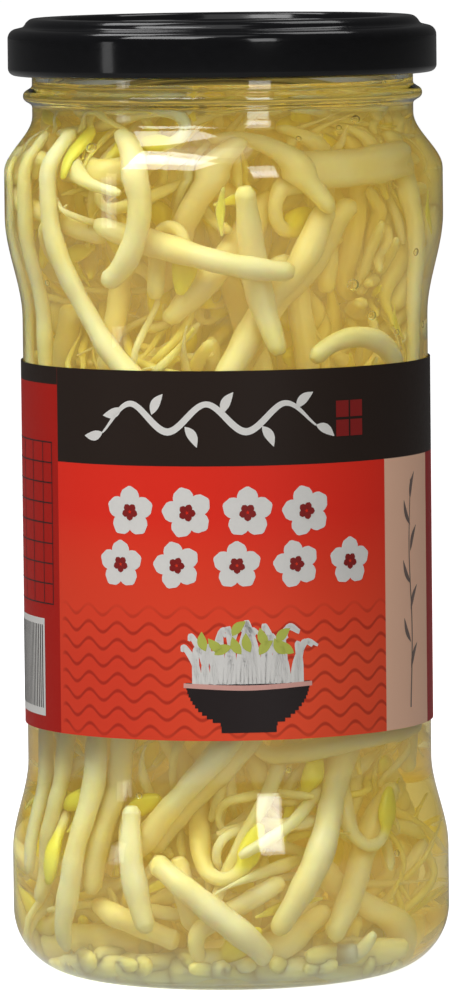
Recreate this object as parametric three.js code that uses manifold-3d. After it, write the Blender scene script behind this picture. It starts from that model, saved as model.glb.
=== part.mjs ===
// A glass jar of mung bean sprouts in brine, closed by a twist-off steel lid.
// Millimetres, +Z up. The origin is the middle of the base, on the ring that the jar stands on.
// The jar's front looks along -Y, and the label's lap is at the back.
import * as THREE from "three";
import { mergeVertices } from "three/addons/utils/BufferGeometryUtils.js";
import Module from "manifold-3d";

const wasm = await Module();
wasm.setup();

// Driving dimensions of the jar
const BULGE_RADIUS = 33.8;
const PANEL_RADIUS = 31.25;
const NECK_RADIUS = 29.35;
const BEAD_RADIUS = 30.75;
const WALL = 2.3;
const HEEL_ARC = 10;
const INNER_HEEL_ARC = 7.7;
const FOOT_INNER = 22.4;
const BASE_TOP = 2.8;
const PUSH_UP = 0.8;
const LOWER_BULGE_TOP = 19;
const PANEL_BOTTOM = 33;
const PANEL_TOP = 101.5;
const UPPER_BULGE_BOTTOM = 117;
const UPPER_BULGE_TOP = 124;
const NECK_BOTTOM = 132.5;
const BEAD_HEIGHT = 135.6;
const BEAD_HALF = 1.4;
const RIM_HEIGHT = 145.9;
const RIM_ROUND = 0.6;

// Driving dimensions of the lid, its seal and the thread that holds it
const LID_TOP = 147.5;
const LID_BOTTOM = 138.8;
const LID_RADIUS = 33;
const LID_SHEET = 0.5;
const LID_PANEL_HEIGHT = 146.2;
const BUTTON_RADIUS = 8.5;
const RIDGE_INNER = 25.1;
const RIDGE_OUTER = 30.6;
const LUGS = 6;
const LUG_TOP = 140.1;
const THREAD_LOW = 140.9;
const THREAD_RISE = 1.1;
const THREAD_SPAN = THREE.MathUtils.degToRad(44);
const THREAD_STAND_OUT = 1.3;
const SEAL_INNER = 26.5;
const SEAL_OUTER = 29.4;

// Driving dimensions of the label and the brine
const LABEL_BOTTOM = 39;
const LABEL_TOP = 95;
const PAPER = 0.25;
const LABEL_GAP = 0.1;
const BRINE_LEVEL = 138;
const BRINE_GAP = 0.1;
const BRINE_FILM = 0.7;

// How round pieces and small repeats are cut into faces
const ROUND_SIDES = 32;
const SPROUT_SIDES = 5;
const CLUMP_SIDES = 4;
const BLEND_STEPS = 3;

// How the sprouts lie
const FIRST_DEPTH = 1.1;
const CLEARANCE = 0.5;
const LOWEST = 6;
const HIGHEST = 134.2;
const BALL = 2.9;
const STEEPEST = 0.3;
const STEM_SLIMNESS = 0.93;
const CLUMPS = 16;
const CLUMP_SPROUTS = 4;
const CLUMP_TRIES = 60;
const SEED = 20417;

const degrees = THREE.MathUtils.degToRad;
const clamp = THREE.MathUtils.clamp;
const smooth = (x) => THREE.MathUtils.smoothstep(x, 0, 1);

// Outer radius of the jar's body at a height above the heel: two bulges with a recessed panel between them.
function bodyRadius(z) {
  const hollow = BULGE_RADIUS - PANEL_RADIUS;
  const below = smooth((z - LOWER_BULGE_TOP) / (PANEL_BOTTOM - LOWER_BULGE_TOP));
  const above = smooth((z - PANEL_TOP) / (UPPER_BULGE_BOTTOM - PANEL_TOP));
  const shoulder = smooth((z - UPPER_BULGE_TOP) / (NECK_BOTTOM - UPPER_BULGE_TOP));
  return BULGE_RADIUS - hollow * (below - above) - (BULGE_RADIUS - NECK_RADIUS) * shoulder;
}

// Inner radius of the glass at a height.
function innerRadius(z) {
  const arcHeight = BASE_TOP + INNER_HEEL_ARC;
  const drop = Math.min(Math.max(arcHeight - z, 0), INNER_HEEL_ARC);
  const tuck = INNER_HEEL_ARC - Math.sqrt(INNER_HEEL_ARC ** 2 - drop ** 2);
  return bodyRadius(z) - WALL - tuck;
}

// The heights where the body's outline needs a point, from the heel up to the neck.
function bodyHeights(steps) {
  const blends = [
    [LOWER_BULGE_TOP, PANEL_BOTTOM],
    [PANEL_TOP, UPPER_BULGE_BOTTOM],
    [UPPER_BULGE_TOP, NECK_BOTTOM],
  ];
  return blends.flatMap(([low, high]) =>
    Array.from({ length: steps + 1 }, (_, i) => low + ((high - low) * i) / steps),
  );
}

// Points of an arc round (r, z), from one angle to another, with 0 outwards and 90 degrees up.
function arc(r, z, radius, from, to, steps) {
  return Array.from({ length: steps + 1 }, (_, i) => {
    const a = degrees(from + ((to - from) * i) / steps);
    return [r + radius * Math.cos(a), z + radius * Math.sin(a)];
  });
}

// A closed mesh as a solid.
function solidOf(geometry) {
  const bare = geometry.index ? geometry.toNonIndexed() : geometry.clone();
  bare.deleteAttribute("normal");
  bare.deleteAttribute("uv");
  const merged = mergeVertices(bare, 1e-4);
  const corners = [];
  const index = merged.index.array;
  for (let i = 0; i < index.length; i += 3) {
    const [a, b, c] = [index[i], index[i + 1], index[i + 2]];
    if (a !== b && b !== c && a !== c) corners.push(a, b, c);
  }
  return new wasm.Manifold(
    new wasm.Mesh({
      numProp: 3,
      vertProperties: merged.attributes.position.array,
      triVerts: new Uint32Array(corners),
    }),
  );
}

// A solid as a three.js geometry.
function geometryOf(solid) {
  const mesh = solid.getMesh();
  return new THREE.BufferGeometry()
    .setAttribute("position", new THREE.BufferAttribute(new Float32Array(mesh.vertProperties), 3))
    .setIndex(new THREE.BufferAttribute(new Uint32Array(mesh.triVerts), 1));
}

// A solid of revolution about Z from [radius, height] points that run anticlockwise round the section.
function turned(points) {
  const outline = points.map(([r, z]) => new THREE.Vector2(r, z));
  return new THREE.LatheGeometry(outline, ROUND_SIDES).rotateX(Math.PI / 2);
}

// The glass in section: foot, heel, outside, bead, rim, inside and the well of the base.
function jarOutline() {
  const heelCentre = BULGE_RADIUS - HEEL_ARC;
  const innerHeel = BULGE_RADIUS - WALL - INNER_HEEL_ARC;
  const foot = [
    [0, PUSH_UP],
    [FOOT_INNER - 1.6, PUSH_UP * 0.8],
    [FOOT_INNER, 0],
  ];
  const heel = arc(heelCentre, HEEL_ARC, HEEL_ARC, -90, 0, 4);
  const outside = bodyHeights(BLEND_STEPS).map((z) => [bodyRadius(z), z]);
  const bead = [
    [NECK_RADIUS, BEAD_HEIGHT - BEAD_HALF],
    ...arc(BEAD_RADIUS - BEAD_HALF * 0.7, BEAD_HEIGHT, BEAD_HALF * 0.7, -60, 60, 3),
    [NECK_RADIUS, BEAD_HEIGHT + BEAD_HALF],
  ];
  const rim = [
    [NECK_RADIUS, RIM_HEIGHT - RIM_ROUND],
    [NECK_RADIUS - RIM_ROUND, RIM_HEIGHT],
    [NECK_RADIUS - WALL + RIM_ROUND, RIM_HEIGHT],
    [NECK_RADIUS - WALL, RIM_HEIGHT - RIM_ROUND],
  ];
  const inside = bodyHeights(BLEND_STEPS).map((z) => [innerRadius(z), z]).reverse();
  const well = arc(innerHeel, BASE_TOP + INNER_HEEL_ARC, INNER_HEEL_ARC, 0, -90, 3);
  return [...foot, ...heel, ...outside, ...bead, ...rim, ...inside, ...well, [0, BASE_TOP]];
}

// One ridge of the thread: a short bar that climbs round the neck.
function threadRidge(start) {
  const steps = 5;
  const sunk = 0.6;
  const section = new THREE.Shape([
    new THREE.Vector2(-0.75, 0),
    new THREE.Vector2(-0.35, THREAD_STAND_OUT + sunk),
    new THREE.Vector2(0.35, THREAD_STAND_OUT + sunk),
    new THREE.Vector2(0.75, 0),
  ]);
  const bar = new THREE.ExtrudeGeometry(section, { depth: 1, steps, bevelEnabled: false });
  const place = bar.attributes.position;
  for (let i = 0; i < place.count; i++) {
    const t = place.getZ(i);
    const taper = Math.min(1, 4 * Math.min(t, 1 - t) + 0.35);
    const radius = NECK_RADIUS - sunk + place.getY(i) * taper;
    const angle = start + THREAD_SPAN * t;
    const z = THREAD_LOW + 0.75 + THREAD_RISE * t + place.getX(i);
    place.setXYZ(i, radius * Math.cos(angle), radius * Math.sin(angle), z);
  }
  return solidOf(bar);
}

function jar() {
  let glass = solidOf(turned(jarOutline()));
  for (let i = 0; i < LUGS; i++) glass = glass.add(threadRidge((2 * Math.PI * i) / LUGS));
  return geometryOf(glass);
}

// The lid: a pressed sheet with a safety button, a raised ridge over the seal, a stepped shoulder,
// a skirt and a curled edge.
function lidOutline() {
  const t = LID_SHEET;
  const skirtLow = LID_BOTTOM + 1.7;
  return [
    [0, LID_PANEL_HEIGHT + 0.45 - t],
    [BUTTON_RADIUS - 1.4, LID_PANEL_HEIGHT + 0.35 - t],
    [BUTTON_RADIUS, LID_PANEL_HEIGHT - t],
    [RIDGE_INNER + 0.3, LID_PANEL_HEIGHT - t],
    [RIDGE_INNER + 1.0, LID_TOP - t],
    [RIDGE_OUTER - 1.4, LID_TOP - t],
    [RIDGE_OUTER - 0.5, LID_PANEL_HEIGHT - t],
    [LID_RADIUS - 1.5, LID_PANEL_HEIGHT - 0.3 - t],
    [LID_RADIUS - t, LID_PANEL_HEIGHT - 1.8],
    [LID_RADIUS - t, skirtLow],
    [LID_RADIUS - 1.9, skirtLow - 0.2],
    [LID_RADIUS - 2.1, LID_BOTTOM + 0.6],
    [LID_RADIUS - 1.1, LID_BOTTOM],
    [LID_RADIUS - 0.2, LID_BOTTOM + 0.5],
    [LID_RADIUS, skirtLow],
    [LID_RADIUS, LID_PANEL_HEIGHT - 1.7],
    [LID_RADIUS - 0.35, LID_PANEL_HEIGHT - 0.7],
    [LID_RADIUS - 1.2, LID_PANEL_HEIGHT - 0.2],
    [RIDGE_OUTER, LID_PANEL_HEIGHT - 0.1],
    [RIDGE_OUTER - 0.5, LID_TOP - 0.5],
    [RIDGE_OUTER - 1.2, LID_TOP],
    [RIDGE_INNER + 0.9, LID_TOP],
    [RIDGE_INNER + 0.2, LID_PANEL_HEIGHT],
    [BUTTON_RADIUS, LID_PANEL_HEIGHT],
    [BUTTON_RADIUS - 1.4, LID_PANEL_HEIGHT + 0.35],
    [0, LID_PANEL_HEIGHT + 0.45],
  ];
}

// One lug: the curl pressed inwards, to catch under a ridge of the thread.
function lidLug(angle) {
  const outer = LID_RADIUS - 1.4;
  const inner = NECK_RADIUS + 0.35;
  const tab = new THREE.BoxGeometry(outer - inner, 7, LUG_TOP - LID_BOTTOM - 0.3);
  tab.translate((outer + inner) / 2, 0, (LUG_TOP + LID_BOTTOM + 0.3) / 2);
  return solidOf(tab.rotateZ(angle));
}

function lid() {
  let sheet = solidOf(turned(lidOutline()));
  for (let i = 0; i < LUGS; i++) {
    sheet = sheet.add(lidLug((2 * Math.PI * i) / LUGS + THREAD_SPAN * 0.3));
  }
  return geometryOf(sheet);
}

// The ring of sealing compound between the lid's ridge and the jar's rim.
function seal() {
  const low = RIM_HEIGHT + 0.1;
  const high = LID_TOP - LID_SHEET - 0.1;
  return turned([
    [SEAL_INNER, low],
    [SEAL_OUTER, low],
    [SEAL_OUTER - 0.5, high],
    [SEAL_INNER + 0.2, high],
    [SEAL_INNER, low],
  ]);
}

// The paper label: one strip wrapped once round the panel, its end lapped over its start at the back.
function label() {
  const lapSteps = 1;
  const start = Math.PI / 2;
  const inner = PANEL_RADIUS + LABEL_GAP;
  const lift = PAPER + LABEL_GAP;
  const at = (i, extra) => {
    const raised = i >= ROUND_SIDES ? lift : 0;
    const radius = inner + raised + extra;
    const angle = start + (2 * Math.PI * i) / ROUND_SIDES;
    return new THREE.Vector2(radius * Math.cos(angle), radius * Math.sin(angle));
  };
  const count = ROUND_SIDES + lapSteps;
  const along = Array.from({ length: count + 1 }, (_, i) => i);
  const strip = [...along.map((i) => at(i, PAPER)), ...along.reverse().map((i) => at(i, 0))];
  const paper = new THREE.ExtrudeGeometry(new THREE.Shape(strip), {
    depth: LABEL_TOP - LABEL_BOTTOM,
    bevelEnabled: false,
  });
  return paper.translate(0, 0, LABEL_BOTTOM);
}

// The brine, with one plain hole, open at the top, that the packed sprouts stand in.
function brine() {
  const heights = [...bodyHeights(BLEND_STEPS), BRINE_LEVEL];
  const innerHeel = BULGE_RADIUS - WALL - INNER_HEEL_ARC;
  const heel = (inset) => arc(innerHeel, BASE_TOP + INNER_HEEL_ARC, INNER_HEEL_ARC - inset, -90, 0, 3);
  const wall = (inset) => heights.map((z) => [innerRadius(z) - inset, z]);
  const hole = BRINE_GAP + BRINE_FILM;
  return turned([
    [0, BASE_TOP + BRINE_GAP],
    ...heel(BRINE_GAP),
    ...wall(BRINE_GAP),
    ...wall(hole).reverse(),
    ...heel(hole).reverse(),
    [0, BASE_TOP + hole],
  ]);
}

// Seeded numbers from 0 to 1, the same on every run.
function numberSource(seed) {
  let state = seed >>> 0;
  return () => {
    state = (Math.imul(state, 1664525) + 1013904223) >>> 0;
    return state / 4294967296;
  };
}

// The wall that a stem can press against, as a ball of its thickness feels it.
function bedRadius(z) {
  let least = Infinity;
  for (let step = -6; step <= 6; step++) {
    const dz = (BALL * step) / 6;
    least = Math.min(least, innerRadius(z + dz) - Math.sqrt(BALL ** 2 - dz ** 2));
  }
  return least + BALL;
}

// The angle round the jar at which a stem near the wall is seen this far across the front,
// because the glass and brine bend the view.
function angleSeenAt(across) {
  const bend = 1.34;
  const lies = BULGE_RADIUS - 5.2;
  const slant = Math.asin(clamp(across / BULGE_RADIUS, -1, 1));
  const reach = across / bend;
  return slant + Math.asin(reach / lies) - Math.asin(reach / BULGE_RADIUS);
}

// The stems that show most at the front, as they lie there: how far across and up the thick end starts,
// the way it heads (0 to the right, 90 up), its length, its bend, the turn of its hook and its radius.
const FRONT = [
  [-32.6, 124, -90, 42, 2, 0, 1.6],
  [-30.2, 129, -90, 38, 3, 0, 1.75],
  [-26.2, 130, -100, 50, 72, 0, 1.85],
  [-18.2, 130, -32, 26, -120, 0, 2.0],
  [-20.5, 117, -18, 32, 10, 0, 1.95],
  [-13.5, 106, 88, 24, -10, -185, 1.5],
  [4.0, 128, -143, 28, 22, 0, 2.0],
  [-3.0, 127, 16, 24, -78, 0, 1.75],
  [3.2, 122.5, -83, 26, 10, 0, 2.1],
  [20.2, 119.3, -133, 38, 12, 0, 2.1],
  [25.5, 119.5, -140, 48, 14, 0, 2.1],
  [31.0, 124.5, 184, 42, 4, 185, 1.8],
  [13.0, 130, -12, 30, -95, 0, 1.6],
  [31.6, 127, -90, 40, -4, 0, 1.8],
  [14.3, 96, 48, 24, -130, 0, 1.8],
  [-11.6, 102, 48, 30, -18, 0, 2.15],
  [-1.7, 111.5, -43, 28, -42, 0, 1.9],
  [-24, 94, 90, 30, -10, -170, 1.65],
  [22, 112, -96, 34, -8, 0, 1.7],
  [-30.5, 48, -91, 32, 0, 0, 1.75],
  [-26.5, 47, -93, 36, -18, 0, 1.75],
  [-22, 48, -88, 42, -20, 0, 1.95],
  [-15.5, 47, -112, 34, 14, 0, 1.85],
  [-15.9, 28, -88, 19, 16, 0, 2.0],
  [-12.3, 20, -34, 23, -10, 0, 2.15],
  [4.2, 43.5, -127, 44, -8, -200, 2.0],
  [7.6, 41.5, -137, 30, 3, 0, 2.0],
  [31.5, 38.5, 183, 44, 8, -140, 1.75],
  [26.2, 43, -126, 40, 8, 0, 2.2],
  [25.5, 43.5, -104, 36, -2, 190, 1.5],
  [29.5, 29, -131, 28, 0, 0, 2.1],
  [8.5, 17, -152, 30, 0, 185, 1.75],
  [18.6, 11.6, -160, 28, 4, 0, 2.0],
  [16.5, 19, -34, 28, 12, 0, 2.0],
  [-24.5, 12.6, -16, 17, 0, 0, 1.9],
  [-29, 7.6, -2, 22, 2, 0, 1.9],
  [-9.5, 20, -76, 11, 0, 0, 2.1],
  [13.5, 7.2, 60, 18, -60, 0, 1.7],
].map(([across, up, heading, length, bend, hook, radius]) => ({
  angle: angleSeenAt(across),
  up,
  heading: degrees(heading),
  length,
  bend: degrees(bend),
  hook: degrees(hook),
  radius: radius * STEM_SLIMNESS,
}));

const HOOK_LENGTH = 8.5;
const HEAD_LENGTH = 7.5;
const TRACE_STEPS = 48;
const HEAD_HALF_WIDTH = 1.75;
const HEAD_HALF_THICK = 1.1;

// Half width and half thickness of a sprout at a distance from its root end: a root that tapers off,
// an even stem, a thin neck and, past a hook, the pair of seed leaves.
function sproutSection(sprout, s) {
  const { radius, length, hook } = sprout;
  const tail = sprout.tail ?? 0;
  const root = tail > 0 ? 0.3 + 0.7 * smooth(s / tail) : Math.sqrt(clamp((s + 0.5) / 1.6, 0, 1));
  if (hook === 0) {
    const cut = Math.sqrt(clamp((length - s + 0.5) / 1.6, 0, 1));
    const half = radius * Math.min(root, cut);
    return [half, half];
  }
  const neckFrom = length - HOOK_LENGTH - HEAD_LENGTH;
  const neck = 1 - 0.38 * smooth((s - neckFrom + 3) / HOOK_LENGTH);
  const along = (s - (length - HEAD_LENGTH)) / HEAD_LENGTH;
  const half = radius * Math.min(root, neck);
  if (along <= 0) return [half, half];
  const swell = Math.sin(Math.PI * Math.min(1, along * 0.82 + 0.12)) ** 0.7;
  const ease = smooth(along * 3);
  return [
    half + (HEAD_HALF_WIDTH * swell - half) * ease,
    half + (HEAD_HALF_THICK * swell - half) * ease,
  ];
}

// The line that a sprout takes over the wall, as [angle, height, distance from its root end] steps.
function traceSprout(sprout, depth = 3) {
  const step = sprout.length / TRACE_STEPS;
  const hookFrom = sprout.length - HOOK_LENGTH - HEAD_LENGTH;
  const hookTo = sprout.length - HEAD_LENGTH * 0.8;
  const points = [];
  let { angle, up, heading } = sprout;
  for (let i = 0; i <= TRACE_STEPS; i++) {
    const s = i * step;
    points.push([angle, up, s]);
    const hooking = sprout.hook !== 0 && s >= hookFrom && s < hookTo;
    const turn = hooking ? sprout.hook / (hookTo - hookFrom) : sprout.bend / sprout.length;
    heading += turn * step;
    angle += (Math.cos(heading) * step) / (bedRadius(up) - depth);
    up = clamp(up + Math.sin(heading) * step, LOWEST, HIGHEST);
  }
  return points;
}

// The bed of sprouts: how deep under the glass each spot of the wall is already taken.
class Bed {
  constructor() {
    this.turns = 180;
    this.rise = 1;
    this.rows = Math.ceil(HIGHEST + 6);
    this.back = new Float64Array(this.turns * this.rows).fill(FIRST_DEPTH - CLEARANCE);
  }

  // Calls visit(cell, offset) for each cell within reach of a spot, measured at a depth.
  around(angle, up, reach, depth, visit) {
    const radius = Math.max(bedRadius(up) - depth, 4);
    const cellAngle = (2 * Math.PI) / this.turns;
    const span = Math.ceil(reach / (radius * cellAngle));
    const middle = Math.round(angle / cellAngle);
    for (let row = Math.ceil(up - reach); row <= Math.floor(up + reach); row++) {
      if (row < 0 || row >= this.rows) continue;
      for (let k = middle - span; k <= middle + span; k++) {
        const aside = (k * cellAngle - angle) * radius;
        const offset = Math.hypot(aside, row - up);
        const column = ((k % this.turns) + this.turns) % this.turns;
        if (offset <= reach) visit(row * this.turns + column, offset);
      }
    }
  }

  // The least depth of a sprout's middle line at each step, clear of what lies in front.
  depths(sprout, points) {
    const need = points.map(([angle, up, s]) => {
      const [wide, thick] = sproutSection(sprout, s);
      const reach = wide + CLEARANCE;
      let least = FIRST_DEPTH + thick;
      for (let pass = 0; pass < 3; pass++) {
        this.around(angle, up, reach, least, (cell, offset) => {
          const cover = Math.sqrt(1 - (offset / reach) ** 2) * (thick + CLEARANCE);
          least = Math.max(least, this.back[cell] + cover);
        });
      }
      return least;
    });
    const drop = (STEEPEST * sprout.length) / TRACE_STEPS;
    for (let i = 1; i < need.length; i++) need[i] = Math.max(need[i], need[i - 1] - drop);
    for (let i = need.length - 2; i >= 0; i--) need[i] = Math.max(need[i], need[i + 1] - drop);
    return need;
  }

  lay(sprout, points, depths) {
    points.forEach(([angle, up, s], i) => {
      const [wide, thick] = sproutSection(sprout, s);
      const reach = Math.max(wide, 0.9);
      this.around(angle, up, reach, depths[i], (cell, offset) => {
        const cover = Math.sqrt(1 - (offset / reach) ** 2) * thick;
        this.back[cell] = Math.max(this.back[cell], depths[i] + cover);
      });
    });
  }
}

// A sprout as a closed mesh: the rings of a cylinder laid along its line.
function sproutGeometry(sprout, points, depths, sides) {
  const line = points.map(([angle, up], i) => {
    const radius = bedRadius(up) - depths[i];
    return new THREE.Vector3(radius * Math.sin(angle), -radius * Math.cos(angle), up);
  });
  const rings = ringSteps(line, sides === CLUMP_SIDES ? 7 : 10);
  const tube = new THREE.CylinderGeometry(1, 1, 1, sides, rings.length - 1);
  const place = tube.attributes.position;
  for (let i = 0; i < place.count; i++) {
    const ring = Math.round((place.getY(i) + 0.5) * (rings.length - 1));
    const at = rings[ring];
    const [wide, thick] = sproutSection(sprout, points[at][2]);
    const ahead = line[Math.min(at + 1, TRACE_STEPS)].clone().sub(line[Math.max(at - 1, 0)]).normalize();
    const out = new THREE.Vector3(Math.sin(points[at][0]), -Math.cos(points[at][0]), 0);
    const aside = new THREE.Vector3().crossVectors(ahead, out).normalize();
    const proud = new THREE.Vector3().crossVectors(aside, ahead);
    const spot = line[at].clone();
    spot.addScaledVector(aside, place.getX(i) * wide).addScaledVector(proud, place.getZ(i) * thick);
    place.setXYZ(i, spot.x, spot.y, spot.z);
  }
  return tube;
}

// The steps of a line that carry a ring: closer together where it turns.
function ringSteps(line, most) {
  const straightStep = 11;
  const turnStep = degrees(48);
  const along = [0];
  for (let i = 1; i < line.length; i++) {
    const step = line[i].clone().sub(line[i - 1]);
    const before = line[i - 1].clone().sub(line[Math.max(i - 2, 0)]);
    const turn = i > 1 ? step.angleTo(before) : 0;
    along.push(along[i - 1] + step.length() / straightStep + turn / turnStep);
  }
  const total = along[along.length - 1];
  const count = clamp(Math.round(total), 4, most);
  return Array.from({ length: count + 1 }, (_, k) =>
    k === count ? line.length - 1 : along.findIndex((a) => a >= (total * k) / count),
  );
}

function laySprout(bed, sprout, sides) {
  const points = traceSprout(sprout);
  const depths = bed.depths(sprout, points);
  bed.lay(sprout, points, depths);
  return sproutGeometry(sprout, points, depths, sides);
}

// One try at a clump: a long sprout with others that cross it along its length.
function drawClump(draw) {
  const spine = {
    angle: 2 * Math.PI * draw(),
    up: LOWEST + 8 + (HIGHEST - LOWEST - 16) * draw(),
    heading: 2 * Math.PI * draw(),
    length: 38 + 10 * draw(),
    bend: 1.2 * (draw() - 0.5),
    hook: draw() < 0.5 ? 3 : -3,
    radius: 1.7 + 0.4 * draw(),
  };
  const middle = traceSprout(spine);
  const crossing = Array.from({ length: CLUMP_SPROUTS - 1 }, (_, k) => {
    const [angle, up] = middle[Math.round(TRACE_STEPS * (0.08 + 0.26 * (k + draw() * 0.6)))];
    const heading = spine.heading + (k % 2 ? 1 : -1) * (0.6 + 0.8 * draw());
    const length = 28 + 14 * draw();
    const back = length * (0.3 + 0.3 * draw());
    return {
      angle: angle - (Math.cos(heading) * back) / (bedRadius(up) - 3),
      up: up - Math.sin(heading) * back,
      heading,
      length,
      bend: 0,
      hook: 0,
      tail: draw() < 0.5 ? 12 : 0,
      radius: 1.6 + 0.5 * draw(),
    };
  });
  return [spine, ...crossing];
}

// A clump: sprouts that cross and hold together, laid where the bed is still thinnest.
function layClump(bed, draw) {
  let best = null;
  for (let attempt = 0; attempt < CLUMP_TRIES; attempt++) {
    const sprouts = drawClump(draw);
    const lowest = Math.min(...sprouts.flatMap((sprout) => traceSprout(sprout).map(([, up]) => up)));
    const highest = Math.max(...sprouts.flatMap((sprout) => traceSprout(sprout).map(([, up]) => up)));
    if (lowest <= LOWEST + 1 || highest >= HIGHEST - 1) continue;
    const lines = sprouts.map((sprout) => traceSprout(sprout));
    const deepest = Math.max(...sprouts.flatMap((sprout, k) => bed.depths(sprout, lines[k])));
    if (!best || deepest < best.deepest) best = { sprouts, lines, deepest };
  }
  const { sprouts, lines, deepest } = best;
  const solids = sprouts.map((sprout, k) => {
    const depths = lines[k].map(() => deepest);
    return solidOf(sproutGeometry(sprout, lines[k], depths, CLUMP_SIDES));
  });
  sprouts.forEach((sprout, k) => bed.lay(sprout, lines[k], lines[k].map(() => deepest)));
  return geometryOf(solids.reduce((whole, solid) => whole.add(solid)));
}

function paint(color, roughness, metalness = 0, opacity = 1) {
  const clear = opacity < 1;
  return new THREE.MeshStandardMaterial({ color, roughness, metalness, opacity, transparent: clear });
}

const GLASS = paint("#e3ede4", 0.05, 0, 0.3);
const LACQUERED_STEEL = paint("#161617", 0.25, 0.3);
const SEALING_COMPOUND = paint("#d9d4c6", 0.6);
const RED_PAPER = paint("#c8342a", 0.5);
const BRINE = paint("#dccb84", 0.02, 0, 0.3);
const SPROUT_FLESH = paint("#e9e0b4", 0.35);

function named(name, geometry, material) {
  const mesh = new THREE.Mesh(geometry, material);
  mesh.name = name;
  return mesh;
}

function sproutBed() {
  const bed = new Bed();
  const draw = numberSource(SEED);
  const group = new THREE.Group();
  const two = (n) => String(n + 1).padStart(2, "0");
  FRONT.forEach((sprout, i) => {
    group.add(named(`sprout_${two(i)}`, laySprout(bed, sprout, SPROUT_SIDES), SPROUT_FLESH));
  });
  for (let i = 0; i < CLUMPS; i++) {
    group.add(named(`sprout_clump_${two(i)}`, layClump(bed, draw), SPROUT_FLESH));
  }
  return group;
}

const part = new THREE.Group();
part.add(named("jar", jar(), GLASS));
part.add(named("lid", lid(), LACQUERED_STEEL));
part.add(named("lid_seal", seal(), SEALING_COMPOUND));
part.add(named("label", label(), RED_PAPER));
part.add(named("brine", brine(), BRINE));
part.add(sproutBed());

export default part;
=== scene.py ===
"""A jar of mung bean sprouts in brine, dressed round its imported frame.

The glass, the brine, the lid, the label and every sprout are built at real size, in metres, in the
frame's own axes: +Z up the jar, -Y out of the front of the label. Sizes in the classes are in
millimetres. The sprouts follow the same seeded rule as the source of the frame, so each fine sprout
lies where the solid that it replaces lies.
"""

import logging
import math
from dataclasses import dataclass
from enum import Enum
from typing import Callable, Iterable, Optional, Sequence

import bmesh
import bpy
import numpy as np
from mathutils import Matrix, Vector

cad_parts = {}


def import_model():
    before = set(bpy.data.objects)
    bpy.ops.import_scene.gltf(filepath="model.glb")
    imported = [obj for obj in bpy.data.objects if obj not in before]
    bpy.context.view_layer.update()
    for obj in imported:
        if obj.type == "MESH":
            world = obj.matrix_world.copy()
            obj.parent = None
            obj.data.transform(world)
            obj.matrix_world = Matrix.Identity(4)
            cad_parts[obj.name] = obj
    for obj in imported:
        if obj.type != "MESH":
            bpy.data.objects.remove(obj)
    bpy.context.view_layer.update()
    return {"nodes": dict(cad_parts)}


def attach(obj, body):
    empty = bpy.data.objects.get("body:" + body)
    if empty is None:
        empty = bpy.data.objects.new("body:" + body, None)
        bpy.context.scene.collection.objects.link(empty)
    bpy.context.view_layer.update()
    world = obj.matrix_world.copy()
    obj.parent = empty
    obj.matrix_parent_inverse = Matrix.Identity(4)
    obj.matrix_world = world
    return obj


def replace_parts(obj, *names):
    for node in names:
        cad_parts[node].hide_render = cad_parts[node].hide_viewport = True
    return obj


LOG = logging.getLogger("jar_of_sprouts")
MM = 0.001

Point2 = tuple[float, float]
Colour = tuple[float, float, float, float]
Draw = Callable[[], float]
Line = tuple[np.ndarray, np.ndarray, np.ndarray]


class Body(Enum):
    """The frame's bodies."""

    JAR = "jar"
    LID = "lid"


class Slot(Enum):
    """The record's slots, one for each kind of surface."""

    GLASS = "glass"
    BRINE = "brine"
    LACQUER = "lid_lacquer"
    SPROUT = "sprout"
    PAPER = "label_paper"


def smooth(x: float) -> float:
    """Eases from 0 to 1 as x goes from 0 to 1."""
    x = min(max(x, 0.0), 1.0)
    return x * x * (3 - 2 * x)


def smooth_all(x: np.ndarray) -> np.ndarray:
    """Eases an array from 0 to 1."""
    x = np.clip(x, 0.0, 1.0)
    return x * x * (3 - 2 * x)


def arc(r: float, z: float, radius: float, start: float, end: float, steps: int) -> list[Point2]:
    """Makes points of an arc round (r, z), with 0 degrees outwards and 90 up.

    Args:
        r: the middle's radius.
        z: the middle's height.
        radius: the arc's own radius.
        start: its first angle in degrees.
        end: its last angle in degrees.
        steps: how many pieces it is cut into.

    Returns:
        The points, from start to end.
    """
    angles = [math.radians(start + (end - start) * i / steps) for i in range(steps + 1)]
    return [(r + radius * math.cos(a), z + radius * math.sin(a)) for a in angles]


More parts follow.
